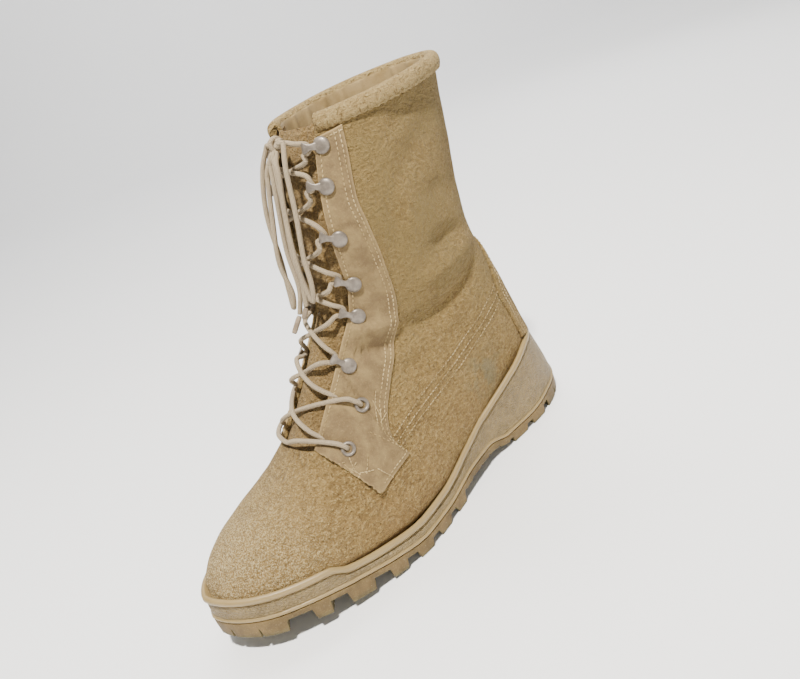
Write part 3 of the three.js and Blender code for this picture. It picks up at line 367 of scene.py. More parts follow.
def path_distance(forward, up, path):
    """Distance of points from a line seen from the side, and how far along it they lie."""
    path = np.array(path, float)
    best, share = np.full(forward.shape, 1e9), np.zeros(forward.shape)
    count = len(path) - 1
    for i, (a, b) in enumerate(zip(path[:-1], path[1:])):
        along = b - a
        t = ((forward - a[0]) * along[0] + (up - a[1]) * along[1]) / (along @ along)
        t = np.clip(t, 0, 1)
        d = np.hypot(forward - a[0] - t * along[0], up - a[1] - t * along[1])
        nearer = d < best
        best, share = np.where(nearer, d, best), np.where(nearer, (i + t) / count, share)
    return best, share


def waves(points, seed, size, count=6):
    """Soft unevenness: a sum of a few waves about size millimetres long, between about -1 and 1."""
    rng = np.random.default_rng(seed)
    total = 0
    for _ in range(count):
        direction = unit(rng.normal(size=3)) * 2 * math.pi / (size * rng.uniform(0.7, 1.5))
        total = total + np.sin(points @ direction + rng.uniform(0, 2 * math.pi))
    return total / count


def counter_edge(forward):
    """Height of the counter's top edge, just above its seam."""
    seam = np.array(SEAM_UPPER[::-1])
    return np.interp(forward, seam[:, 0], seam[:, 1]) + 3.2


def relief(points):
    """How far the worn leather stands out from the plain form, in millimetres."""
    forward, up = forward_of(points), points[..., 2]
    across = points[..., 0] - SIDE_SHIFT
    total = 0.9 * waves(points, 3, 62) + 0.35 * waves(points, 5, 21)
    total = total * step_between(30, 60, up)
    for side, depth, width, path in FOLDS:
        distance, share = path_distance(forward, up, path)
        taper = np.sin(np.clip(share, 0.03, 0.97) * math.pi) ** 0.6
        here = step_between(-4, 6, across * side) if side else 1
        total = total - depth * np.exp(-((distance / width) ** 2)) * taper * here
    panel = step_between(-0.35, 0.35, counter_edge(forward) - up) * step_between(40, 48, forward)
    panel = np.where(forward > 178, 1, panel)
    total = total + 0.8 * panel * (1 - step_between(178, 200, forward) * 0.7)
    for seam in (SEAM_UPPER, SEAM_LOWER):
        distance, share = path_distance(forward, up, seam)
        pucker = 0.4 + 0.2 * np.sin(forward * 1.9)
        total = total - pucker * np.exp(-((distance / 1.7) ** 2)) * (share > 0) * (share < 1)
    return total


def seam_marks(points):
    """How near points of the upper are to a row of the counter's stitches, from 0 to 1."""
    forward, up = forward_of(points), points[..., 2]
    near = np.zeros(forward.shape)
    for seam in (SEAM_UPPER, SEAM_MIDDLE, SEAM_LOWER):
        distance, share = path_distance(forward, up, seam)
        near = np.maximum(near, np.exp(-((distance / 1.6) ** 2)) * (share > 0) * (share < 1))
    return near


def upper_surface(row, angle, lift=0.0):
    """Points over the worn leather."""
    points = upper_point(row, angle)
    normal = upper_normal(row, angle)
    return points + normal * (relief(points) + lift)[..., None]


def sole_outline(count):
    """Points and outward directions round the sole's plan, count for each row of SOLE_PLAN."""
    plan = spot(SOLE_PLAN[:, 0] * LENGTH, SOLE_PLAN[:, 1] * BALL_WIDTH, 0.0)
    n = len(plan)
    points = []
    for i in range(n):
        p = [plan[(i + k) % n] for k in (-1, 0, 1, 2)]
        knots = [0.0]
        for a, b in zip(p[:-1], p[1:]):
            knots.append(knots[-1] + np.linalg.norm(b - a) ** 0.5)
        t = knots[1] + (knots[2] - knots[1]) * np.arange(count)[:, None] / count
        level = list(p)
        for depth in (1, 2, 3):
            level = [
                level[j] * (knots[j + depth] - t) / (knots[j + depth] - knots[j])
                + level[j + 1] * (t - knots[j]) / (knots[j + depth] - knots[j])
                for j in range(len(level) - 1)
            ]
        points.append(level[0])
    points = np.concatenate(points)
    along = unit(np.roll(points, -1, 0) - np.roll(points, 1, 0))
    return points, np.stack([-along[:, 1], along[:, 0], np.zeros(len(points))], -1)

# ------------------------------------------------------------------ meshes


def add_piece(name, points, faces, nodes, materials, uv=None, marks=None, indices=None):
    """One finished piece: its mesh, materials, body and the frame's nodes that it stands for."""
    mesh = bpy.data.meshes.new(name)
    mesh.from_pydata((np.asarray(points, float) * MM).tolist(), [], [list(map(int, f)) for f in faces])
    if uv is not None:
        layer = mesh.uv_layers.new(name="UVMap")
        loops = np.empty(len(mesh.loops), np.int32)
        mesh.loops.foreach_get("vertex_index", loops)
        layer.data.foreach_set("uv", np.asarray(uv, np.float32)[loops].ravel())
    for key, values in (marks or {}).items():
        attribute = mesh.attributes.new(key, "FLOAT", "POINT")
        attribute.data.foreach_set("value", np.asarray(values, np.float32))
    for finish in materials:
        mesh.materials.append(finish)
    if indices is not None:
        mesh.polygons.foreach_set("material_index", np.asarray(indices, np.int32))
    mesh.polygons.foreach_set("use_smooth", np.ones(len(mesh.polygons), bool))
    mesh.validate()
    mesh.update()
    piece = bpy.data.objects.new(name, mesh)
    bpy.context.scene.collection.objects.link(piece)
    finish_piece(piece, nodes)
    return piece


def finish_piece(piece, nodes):
    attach(piece, "root")
    if nodes:
        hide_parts(*nodes)


def grid_faces(rows, cols, wrap=False):
    """Four-cornered faces of a grid of points; wrap joins the last column to the first."""
    r = np.arange(rows - 1)[:, None]
    c = np.arange(cols if wrap else cols - 1)[None, :]
    a = r * cols + c
    b = r * cols + (c + 1) % cols
    return np.stack([a, b, b + cols, a + cols], -1).reshape(-1, 4)


def faces_out(points, faces, outward):
    """Turns faces round if they look against the outward directions of their first corners."""
    p = points[faces]
    normal = np.cross(p[:, 1] - p[:, 0], p[:, 2] - p[:, 0])
    return faces if (normal * outward[faces[:, 0]]).sum() > 0 else faces[:, ::-1]


def closed_sheet(outside, inside, open_rows=0):
    """A sheet with thickness from two grids. The first open_rows rows stay joined at both sides."""
    rows, cols = outside.shape[:2]
    points = np.concatenate([outside.reshape(-1, 3), inside.reshape(-1, 3)])
    outward = np.concatenate([(outside - inside).reshape(-1, 3), (inside - outside).reshape(-1, 3)])
    skin = grid_faces(rows, cols)
    top = faces_out(points, skin, outward)
    flipped = not np.array_equal(top, skin)
    under = (skin if flipped else skin[:, ::-1]) + rows * cols
    shift = rows * cols
    left = [(r * cols, (r + 1) * cols) for r in range(open_rows, rows - 1)]
    right = [((r + 1) * cols - 1, (r + 2) * cols - 1) for r in range(open_rows, rows - 1)]
    first = [(c + 1, c) for c in range(cols - 1)]
    last = [((rows - 1) * cols + c, (rows - 1) * cols + c + 1) for c in range(cols - 1)]
    rim = [(a, b, b + shift, a + shift) for a, b in left + last]
    rim += [(b, a, a + shift, b + shift) for a, b in right]
    rim += [(a, b, b + shift, a + shift) for a, b in first] if not open_rows else []
    rim = np.array(rim)
    if flipped:
        rim = rim[:, ::-1]
    return points, np.concatenate([top, under, rim]), len(top)


def frames_along(path):
    """Directions along, and two across, at each point of a path, without twist."""
    path = np.asarray(path, float)
    along = unit(np.gradient(path, axis=0))
    start = np.array([0.0, 0.0, 1.0]) if abs(along[0][2]) < 0.9 else np.array([1.0, 0.0, 0.0])
    side = unit(np.cross(along[0], start))
    sides = [side]
    for a, b in zip(along[:-1], along[1:]):
        axis = np.cross(a, b)
        if np.linalg.norm(axis) > 1e-9:
            turn = math.asin(min(1, np.linalg.norm(axis)))
            side = np.array(Matrix.Rotation(turn, 3, Vector(unit(axis))) @ Vector(side))
        sides.append(unit(side - b * (side @ b)))
    sides = np.array(sides)
    return along, sides, np.cross(along, sides)


def resample(path, step):
    """Points of a smooth curve through path, step millimetres apart."""
    path = np.asarray(path, float)
    reach = np.concatenate([[0], np.cumsum(np.linalg.norm(np.diff(path, axis=0), axis=1) ** 0.5)])
    fine = np.linspace(0, reach[-1], 40 * len(path))
    curve = np.stack([cubic(reach, path[:, k], fine) for k in range(3)], -1)
    length = np.concatenate([[0], np.cumsum(np.linalg.norm(np.diff(curve, axis=0), axis=1))])
    even = np.linspace(0, length[-1], max(2, int(round(length[-1] / step)) + 1))
    return np.stack([np.interp(even, length, curve[:, k]) for k in range(3)], -1)


def cubic(at, value, x):
    """Natural smooth curve through value at at."""
    slope = np.gradient(value, at)
    i = np.clip(np.searchsorted(at, x) - 1, 0, len(at) - 2)
    span = at[i + 1] - at[i]
    t = (x - at[i]) / span
    rise = value[i + 1] - value[i]
    ease = t * t * (3 - 2 * t)
    lead, trail = t * (1 - t) ** 2 * slope[i], t * t * (t - 1) * slope[i + 1]
    return value[i] + rise * ease + span * (lead + trail)


def tube(path, radius, sides=CORD_SIDES):
    """Points, faces and UVs (turn, millimetres along) of a round tube along a path."""
    _, side, up = frames_along(path)
    turn = np.linspace(0, 2 * math.pi, sides + 1)
    radius = np.broadcast_to(radius, len(path))[:, None, None]
    ring = np.cos(turn)[None, :, None] * side[:, None] + np.sin(turn)[None, :, None] * up[:, None]
    points = (path[:, None] + ring * radius).reshape(-1, 3)
    length = np.concatenate([[0], np.cumsum(np.linalg.norm(np.diff(path, axis=0), axis=1))])
    u, v = np.meshgrid(turn / (2 * math.pi), length)
    faces = [tuple(f) for f in grid_faces(len(path), sides + 1)]
    last = (len(path) - 1) * (sides + 1)
    faces += [tuple(range(sides))[::-1], tuple(range(last, last + sides))]
    return points, faces, np.stack([u.ravel(), v.ravel()], -1)


def merged(parts):
    """Several (points, faces, uv) as one."""
    points, faces, uvs = [], [], []
    count = 0
    for p, f, uv in parts:
        points.append(p)
        faces += [tuple(i + count for i in face) for face in f]
        uvs.append(uv)
        count += len(p)
    return np.concatenate(points), faces, np.concatenate(uvs)


def close_seams(piece, distance=0.02):
    """Merges points that lie on each other and turns every face outwards."""
    mesh = bmesh.new()
    mesh.from_mesh(piece.data)
    bmesh.ops.remove_doubles(mesh, verts=mesh.verts, dist=distance * MM)
    bmesh.ops.dissolve_degenerate(mesh, dist=0.001 * MM, edges=mesh.edges)
    bmesh.ops.recalc_face_normals(mesh, faces=mesh.faces)
    mesh.to_mesh(piece.data)
    mesh.free()
    piece.data.update()


def lathe(profile, segments):
    """Points and faces of a closed profile of (radius, height) turned about Z."""
    profile = np.array(profile, float)
    turn = np.linspace(0, 2 * math.pi, segments, endpoint=False)
    points = np.stack([
        profile[:, None, 0] * np.cos(turn), profile[:, None, 0] * np.sin(turn),
        np.repeat(profile[:, 1:2], segments, 1)], -1).reshape(-1, 3)
    return points, grid_faces(len(profile) + 1, segments, wrap=True) % len(points)


def seated(seat, lift=0.0):
    """Matrix of a seat: x towards the throat, z out of the leather."""
    row, turn, side, base = seat
    angle = side * math.radians(turn)
    out = upper_normal(row, angle)
    ahead = upper_point(row, angle + 0.05 * side) - upper_point(row, angle - 0.05 * side)
    ahead = unit(ahead - out * (ahead @ out))
    surface = upper_point(row, angle)
    origin = surface + out * (base + lift + relief(surface))
    matrix = np.eye(4)
    matrix[:3, 0], matrix[:3, 1], matrix[:3, 2], matrix[:3, 3] = ahead, np.cross(out, ahead), out, origin
    return matrix


def moved(matrix, points):
    return points @ matrix[:3, :3].T + matrix[:3, 3]


# ------------------------------------------------------------------ materials


class Value:
    """A number inside a shader; plain arithmetic on it adds Math nodes."""

    def __init__(self, graph, socket):
        self.graph, self.socket = graph, socket

    def math(self, operation, *operands):
        node = self.graph.node("ShaderNodeMath", dict(enumerate(operands)), operation=operation)
        return Value(self.graph, node.outputs[0])

    def __add__(self, other):
        return self.math("ADD", self, other)

    def __sub__(self, other):
        return self.math("SUBTRACT", self, other)

    def __rsub__(self, other):
        return self.math("SUBTRACT", other, self)

    def __mul__(self, other):
        return self.math("MULTIPLY", self, other)

    __radd__, __rmul__ = __add__, __mul__

    def sine(self):
        return self.math("SINE", self)

    def between(self, low, high):
        """0 below low and 1 above high, smooth between."""
        node = self.graph.node(
            "ShaderNodeMapRange", {"Value": self, "From Min": low, "From Max": high},
            interpolation_type="SMOOTHSTEP",
        )
        return Value(self.graph, node.outputs["Result"])


class Graph:
    """The node tree of one new material."""

    def __init__(self, name):
        self.material = bpy.data.materials.new(name)
        self.material.use_nodes = True
        self.tree = self.material.node_tree
        self.tree.nodes.clear()
        self.place = self.node("ShaderNodeTexCoord").outputs["Object"]

    def node(self, kind, sockets=None, **settings):
        """A node of a type with its settings, then the values or links of its sockets."""
        node = self.tree.nodes.new(kind)
        for key, value in settings.items():
            setattr(node, key, value)
        for key, source in (sockets or {}).items():
            self.feed(source, node.inputs[key])
        return node

    def feed(self, source, socket):
        if isinstance(source, Value):
            source = source.socket
        if isinstance(source, bpy.types.NodeSocket):
            self.tree.links.new(source, socket)
        else:
            socket.default_value = source

    def stretched(self, scale, turn=(0, 0, 0)):
        """Object coordinates scaled along each axis after a turn in degrees."""
        turn = [math.radians(a) for a in turn]
        node = self.node("ShaderNodeMapping", {"Vector": self.place, "Rotation": turn, "Scale": scale})
        return node.outputs["Vector"]

    def noise(self, size, detail=3.0, rough=0.6, vector=None, warp=0.0):
        """Noise with features about size millimetres long."""
        node = self.node("ShaderNodeTexNoise", {
            "Vector": vector or self.place, "Scale": 1 / (size * MM), "Detail": detail,
            "Roughness": rough, "Distortion": warp,
        })
        return Value(self, node.outputs["Factor"] if "Factor" in node.outputs else node.outputs["Fac"])

    def cells(self, size, feature="F1", vector=None):
        sockets = {"Vector": vector or self.place, "Scale": 1 / (size * MM)}
        return Value(self, self.node("ShaderNodeTexVoronoi", sockets, feature=feature).outputs["Distance"])

    def mark(self, name):
        """A number stored at each point of the mesh."""
        return Value(self, self.node("ShaderNodeAttribute", attribute_name=name).outputs["Fac"])

    def near(self, centre, reach):
        """1 at a point in millimetres, falling to 0 at reach."""
        sockets = {0: self.place, 1: [c * MM for c in centre]}
        node = self.node("ShaderNodeVectorMath", sockets, operation="DISTANCE")
        return 1 - Value(self, node.outputs["Value"]).between(0, reach * MM)

    def part(self, vector, index):
        return Value(self, self.node("ShaderNodeSeparateXYZ", {0: vector}).outputs[index])

    def axis(self, index):
        return self.part(self.place, index)

    def uv(self, index):
        """0: share of a turn round a cord, 1: millimetres along it."""
        return self.part(self.node("ShaderNodeUVMap", uv_map="UVMap").outputs["UV"], index)

    def blend(self, share, a, b):
        """A colour between two, which are sockets, hex strings or linear channels."""
        ends = [hexed(end) if isinstance(end, str) else end for end in (a, b)]
        ends = [end if isinstance(end, bpy.types.NodeSocket) else (*end, 1) for end in ends]
        node = self.node("ShaderNodeMix", data_type="RGBA")
        for source, socket in zip((share, *ends), (0, 6, 7)):
            self.feed(source, node.inputs[socket])
        return node.outputs[2]

    def bump(self, height, strength, distance, under=None):
        sockets = {"Height": height, "Strength": strength, "Distance": distance * MM}
        if under is not None:
            sockets["Normal"] = under
        return self.node("ShaderNodeBump", sockets).outputs["Normal"]

    def finish(self, colour, roughness, normal=None, metallic=0.0, sheen=0.0, coat=0.0, specular=0.4):
        sockets = {
            "Base Color": colour, "Roughness": roughness, "Metallic": metallic,
            "Specular IOR Level": specular, "Sheen Weight": sheen, "Sheen Roughness": 0.45,
            "Sheen Tint": (0.95, 0.85, 0.68, 1), "Coat Weight": coat,
        }
        if normal is not None:
            sockets["Normal"] = normal
        shader = self.node("ShaderNodeBsdfPrincipled", sockets)
        self.node("ShaderNodeOutputMaterial", {"Surface": shader.outputs["BSDF"]})
        return self.material


def hexed(text):
    """Linear colour from a hex string."""
    channels = [int(text[i:i + 2], 16) / 255 for i in (0, 2, 4)]
    return tuple(c / 12.92 if c <= 0.04045 else ((c + 0.055) / 1.055) ** 2.4 for c in channels)


def suede(name, middle, light="b79f6b", dark="675030", grit=1.0, worn=True):
    """Roughout leather: mottled nap, light flecks of painted highlight and dark flecks of painted shade, soft
    sheen. With worn it adds a smudge of dirt, a painted highlight on the toe, painted shade up the shaft,
    colour darker towards the bottom and dark seam marks.
    """
    g = Graph(name)
    broad = g.noise(38, warp=0.4)
    patch = g.noise(11)
    nap = g.noise(2.3, 3, 0.62, vector=g.stretched((1, 0.75, 1.35), (20, 0, 35)))
    fine = g.noise(0.85, 3, 0.7)
    pits = g.noise(1.5, 2, 0.5, vector=g.stretched((1.2, 1, 0.8), (0, 40, 0)))
    tone = broad * 0.55 + patch * 0.45
    colour = g.blend(tone.between(0.3, 0.62) * 0.55 + 0.45, dark, middle)
    # Flecks that follow the bump: dark painted shade where the nap and the pits dip, light painted highlight
    # where the nap and fine grain stand up.
    colour = g.blend((1 - nap.between(0.36, 0.54)) * 0.45, colour, dark)
    colour = g.blend((fine * 0.55 + nap * 0.45).between(0.49, 0.62) * 0.6, colour, light)
    colour = g.blend((1 - pits.between(0.32, 0.42)) * 0.65, colour, "553d22")
    # worn adds a smudge of dirt, a painted highlight on the toe, painted shade up the shaft and colour darker
    # towards the bottom.
    if worn:
        smudge = g.near((40, 66, 62), 30) * patch.between(0.38, 0.6)
        colour = g.blend(smudge * 0.65, colour, "6d6b55")
        # Painted highlight: lighter speckles over the toe.
        painted_toe_highlight = (0 - g.axis(1)).between(0.06, 0.14) * fine.between(0.45, 0.6)
        colour = g.blend(painted_toe_highlight * 0.6, colour, "dac89a")
        # Painted shade: the shaft turns darker olive as it rises.
        high = g.axis(2).between(0.05, 0.17) * (broad.between(0.36, 0.62) * 0.35 + 0.4)
        colour = g.blend(high, colour, "7a6841")
        # Darker towards the bottom of the upper, in broad patches.
        low = (1 - g.axis(2).between(0.02, 0.075)) * broad.between(0.35, 0.6)
        colour = g.blend(low * 0.35, colour, "75593a")
    height = nap + fine * 0.4 + pits * 0.6
    if worn:
        pucker = g.mark("seam") * (g.noise(1.7, 2) * 1.6 - 0.5)
        sewn = g.mark("seam") * (1 - g.noise(1.3, 2).between(0.36, 0.5)) * 0.6
        colour = g.blend(sewn, colour, "6a4f2e")
        height = height + pucker
    normal = g.bump(height, 1.0, 3.4 * grit, g.bump(patch, 0.8, 2.6))
    return g.finish(colour, 0.93, normal, sheen=0.1, specular=0.12)


def smooth_leather(name, light):
    """The smoother, duller leather of the facings."""
    g = Graph(name)
    broad, patch, fine = g.noise(24, warp=0.5), g.noise(6), g.noise(0.9, 3, 0.65)
    grain = g.noise(2.0)
    colour = g.blend((broad * 0.6 + patch * 0.4).between(0.36, 0.64), "66543a", light)
    colour = g.blend(fine.between(0.52, 0.7) * 0.4, colour, "9a8157")
    colour = g.blend((1 - grain.between(0.32, 0.46)) * 0.35, colour, "7a6240")
    colour = g.blend(g.mark("edge") * 0.5, colour, "bea273")
    normal = g.bump(fine * 0.6 + grain * 0.6, 0.8, 0.5, g.bump(patch, 0.6, 1.5))
    return g.finish(colour, 0.82, normal, sheen=0.06, specular=0.22)


def cup_foam(name, light):
    """Moulded midsole: fine leather grain on the sides, smooth bead and ridge."""
    g = Graph(name)
    broad, patch = g.noise(30), g.noise(5)
    grain = g.noise(2.6, 2, 0.5, vector=g.stretched((1, 0.7, 1.5), (15, 10, 0)), warp=0.6)
    veins = g.cells(2.4, "DISTANCE_TO_EDGE", g.stretched((1, 0.7, 1.3)))
    rough = g.mark("grain")
    colour = g.blend((broad * 0.5 + patch * 0.5).between(0.35, 0.65), "6c5a37", light)
    colour = g.blend((1 - rough) * 0.6, colour, "9c8558")
    dust = g.axis(2).between(0.012, 0.05)
    colour = g.blend((1 - dust) * patch.between(0.4, 0.65) * 0.4, colour, "83714b")
    height = (grain * 0.8 + veins.between(0.0, 0.22) * 0.5) * rough
    normal = g.bump(height, 1.0, 0.9, g.bump(patch, 0.2, 0.8))
    return g.finish(colour, 0.33 + rough * 0.16 + patch * 0.1, normal, specular=0.5)


def tread_rubber(name, light):
    """Amber rubber at the sides, darker olive brown underneath and towards the foot of the sides, painted
    shade in the grooves between the lugs.
    """
    g = Graph(name)
    broad, patch, fine = g.noise(26), g.noise(5, 4, 0.65), g.noise(0.8)
    side = g.blend((broad * 0.5 + patch * 0.5).between(0.35, 0.65), "544325", light)
    under = g.blend(patch.between(0.38, 0.62), "4b4226", "665c38")
    # Darker olive brown underneath, fading in towards the foot of the sides.
    colour = g.blend(g.mark("under"), side, under)
    # Painted shade: darker in the grooves between the lugs.
    colour = g.blend(g.mark("painted_groove_shade") * 0.55, colour, "4a3f27")
    colour = g.blend(fine.between(0.56, 0.7) * 0.3, colour, "b5a27a")
    normal = g.bump(fine * 0.5 + patch * 0.5, 0.4, 0.3)
    return g.finish(colour, 0.6 + patch * 0.15, normal, specular=0.35)


def painted_metal(name, light):
    g = Graph(name)
    patch, fine = g.noise(4), g.noise(0.7)
    colour = g.blend(patch.between(0.35, 0.65), "6a6157", light)
    colour = g.blend(fine.between(0.6, 0.72) * 0.3, colour, "a09384")
    normal = g.bump(fine, 0.15, 0.15)
    return g.finish(colour, 0.34 + patch * 0.14, normal, metallic=0.35, coat=0.15, specular=0.5)


def braid(name, light):
    """Round braided cord: two sets of crossing strands."""
    g = Graph(name)
    u, v = g.uv(0), g.uv(1)
    full_turn = 6.28318
    one = ((u * 6 + v * 0.85) * full_turn).sine()
    two = ((u * 6 - v * 0.85) * full_turn).sine()
    weave = one * two
    fuzz = g.noise(0.6, 3, 0.7)
    soil = g.noise(14)
    colour = g.blend(weave.between(-0.7, 0.6), "57493a", light)
    colour = g.blend(soil.between(0.42, 0.68) * 0.4, colour, "8c7d68")
    colour = g.blend(fuzz.between(0.5, 0.7) * 0.35, colour, "cdbfa6")
    normal = g.bump(weave * 0.5 + fuzz * 0.3, 0.7, 0.35)
    return g.finish(colour, 0.85, normal, sheen=0.15, specular=0.2)


def thread(name, light):
    g = Graph(name)
    soil, fuzz = g.noise(20), g.noise(0.5, 2, 0.6)
    colour = g.blend(soil.between(0.35, 0.65), "8f7a52", light)
    return g.finish(colour, 0.8, g.bump(fuzz, 0.4, 0.12), sheen=0.1, specular=0.2)


def lining(name, light="b59a72", dark="8a6f4c"):
    """Cloth lining with a fine weave."""
    g = Graph(name)
    soil, patch, weave = g.noise(30), g.noise(6), g.cells(0.7)
    colour = g.blend((soil * 0.6 + patch * 0.4).between(0.35, 0.65), dark, light)
    normal = g.bump(weave + patch * 0.4, 0.5, 0.3)
    return g.finish(colour, 0.92, normal, sheen=0.2, specular=0.15)


def plastic_tip(name):
    g = Graph(name)
    patch = g.noise(3, 2, 0.5)
    colour = g.blend(patch.between(0.35, 0.65), "7b6b57", "8f7e68")
    return g.finish(colour, 0.35 + patch * 0.1, g.bump(patch, 0.1, 0.1), coat=0.2)


MATERIALS = {}


def material(key):
    """A material by its plain name, made the first time it is asked for."""
    colours = bpy.context.scene.boot_colours
    makers = {
        "suede": lambda: suede("roughout_suede", tuple(colours.suede)),
        "tongue": lambda: suede("tongue_suede", "836b43", "9c855b", "6a5433", 0.8, False),
        "collar": lambda: suede("collar_suede", "9d8659", "b5a071", "816a43", 0.8, False),
        "facing": lambda: smooth_leather("facing_leather", tuple(colours.facing)),
        "cup": lambda: cup_foam("moulded_foam", tuple(colours.midsole)),
        "rubber": lambda: tread_rubber("tread_rubber", tuple(colours.rubber)),
        "metal": lambda: painted_metal("painted_metal", tuple(colours.metal)),
        "braid": lambda: braid("braided_cord", tuple(colours.lace)),
        "thread": lambda: thread("stitch_thread", tuple(colours.thread)),
        "lining": lambda: lining("lining_cloth"),
        "pleats": lambda: lining("pleated_cloth", "a99268", "8c754b"),
        "footbed": lambda: lining("footbed_cloth", "4b4338", "2e2a24"),
        "tip": lambda: plastic_tip("lace_tip"),
        "hole": lambda: lining("hole_shade", "1d1813", "0e0b09"),
    }
    if key not in MATERIALS:
        MATERIALS[key] = makers[key]()
    return MATERIALS[key]


# ------------------------------------------------------------------ sole


def lean(points):
    """The heel of the cup leans forward as it rises."""
    rise = np.maximum(0, (points[..., 2] - HEEL_LEAN_FROM) / (60 - HEEL_LEAN_FROM))
    share = np.maximum(0, 1 - forward_of(points) / LENGTH / HEEL_LEAN_REACH)
    moved_points = points.copy()
    moved_points[..., 1] -= HEEL_LEAN * rise**1.2 * share
    return moved_points


# Profile of the cup from its bottom ridge to its bead, as top, up, inset and grain.
# top: 0 measures up from the parting, 1 from the bead's top. inset: inside the outline. grain: leather grain.
CUP_PROFILE = (
    (0, 0.0, 9, 0), (0, 0.0, 1.0, 0), (0, 0.35, 0.2, 0), (0, 1.1, -0.1, 0), (0, 1.9, 0.1, 0),
    (0, 2.4, 0.8, 0.2), (0, 3.0, 1.0, 1), (0.25, 2.2, 1.05, 1), (0.5, 0.4, 1.15, 1),
    (0.75, -3.4, 1.25, 1), (1, -6.6, 1.4, 1), (1, -5.4, 1.6, 0.6), (1, -4.8, 1.8, 0), (1, -4.2, 1.2, 0),
    (1, -3.3, 0.55, 0), (1, -2.3, 0.35, 0), (1, -1.3, 0.5, 0), (1, -0.5, 1.0, 0), (1, -0.1, 1.9, 0),
    (1, -0.2, 2.9, 0), (1, -1.2, 3.9, 0), (1, -3.5, 5.2, 0), (1, -5.5, 9, 0),
)


def build_cup():
    outline, outward = sole_outline(40)
    share = forward_of(outline) / LENGTH
    low, high = SOLE["parting"](share) + GAP, SOLE["bead"](share)
    rings, grain = [], []
    profile = np.array(CUP_PROFILE, float)
    at = np.linspace(0, len(profile) - 1, 3 * (len(profile) - 1) + 1)
    level = [np.interp(at, np.arange(len(profile)), profile[:, k]) for k in range(4)]
    for top, up, inset, rough in zip(*level):
        ring = outline - outward * inset
        ring[:, 2] = low + (high - low) * top + up
        rings.append(lean(ring))
        grain.append(np.full(len(ring), rough))
    points = np.array(rings)
    wobble = 0.12 * waves(points, 21, 24)
    points = points + outward * wobble[..., None]
    faces = grid_faces(*points.shape[:2], wrap=True)
    flat = points.reshape(-1, 3)
    faces = faces_out(flat, faces, np.tile(outward, (len(points), 1)))
    add_piece(
        "midsole_cup", flat, faces, ["midsole"], [material("cup")],
        marks={"grain": np.concatenate(grain)},
    )


def inside_quad(forward, across, corners, soft=0.8):
    """1 inside a four-cornered lug, falling to 0 over its sloping side."""
    corners = np.array(corners, float)
    centre = corners.mean(0)
    nearest = np.full(forward.shape, 1e9)
    for a, b in zip(corners, np.roll(corners, -1, 0)):
        along = unit(b - a)
        normal = np.array([-along[1], along[0]])
        if (centre - a) @ normal < 0:
            normal = -normal
        nearest = np.minimum(nearest, (forward - a[0]) * normal[0] + (across - a[1]) * normal[1])
    return step_between(-soft, soft * 0.3, nearest)


def edge_at(outline, share, side):
    """Sideways place of the sole's edge at a share of LENGTH."""
    points = outline[(outline[:, 0] - SIDE_SHIFT) * side > 0]
    order = np.argsort(forward_of(points))
    return np.interp(share * LENGTH, forward_of(points)[order], (points[:, 0] - SIDE_SHIFT)[order])


def side_lug(outline, side, start, end, reach, sweep, outside=6.0):
    edge = edge_at(outline, (start + end) / 2, side)
    tilt = sweep / reach
    a, b = start * LENGTH, end * LENGTH
    near, far = edge + side * outside, edge - side * reach
    lead, trail = outside * tilt, reach * tilt
    return [(a + lead, near), (b + lead, near), (b - trail, far), (a - trail, far)]


CORNERS = ((1, 1), (-1, 1), (-1, -1), (1, -1))


def lug_mask(outline, forward, across):
    """Shares of full lug height and of shank rib height."""
    lugs, ribs = np.zeros(forward.shape), np.zeros(forward.shape)
    for side, start, end, reach, sweep in SIDE_LUGS:
        quad = side_lug(outline, side, start, end, reach, sweep)
        lugs = np.maximum(lugs, inside_quad(forward, across, quad))
    for along, middle, long, wide, turn in MIDDLE_LUGS:
        c, s = math.cos(math.radians(turn)), math.sin(math.radians(turn))
        corners = [
            (along * LENGTH + u * c - v * s, middle + u * s + v * c)
            for u, v in (np.array(CORNERS) * (long / 2, wide / 2))
        ]
        lugs = np.maximum(lugs, inside_quad(forward, across, corners))
    for middle, centre, inside, outside, spread, pieces, end in LUG_RINGS:
        du, dv = (forward - middle * LENGTH) * end, across - centre
        radius, turn = np.hypot(du, dv), np.degrees(np.arctan2(dv, du))
        share = 2 * spread / pieces
        to_split = np.abs((turn + spread + share / 2) % share - share / 2)
        to_split = np.radians(to_split) * radius - 0.7
        inner = np.minimum(radius - inside, outside - radius)
        nearest = np.minimum(np.minimum(inner, to_split), np.radians(spread - np.abs(turn)) * radius)
        lugs = np.maximum(lugs, step_between(-0.8, 0.25, nearest))
    step = (SHANK["to"] - SHANK["from"]) / SHANK["count"]
    for side in (1, -1):
        for k in range(SHANK["count"]):
            start = SHANK["from"] + k * step
            end = start + step - SHANK["space"] / LENGTH
            quad = side_lug(outline, side, start, end, SHANK["reach"], 0)
            ribs = np.maximum(ribs, inside_quad(forward, across, quad, 0.5))
    return lugs, ribs


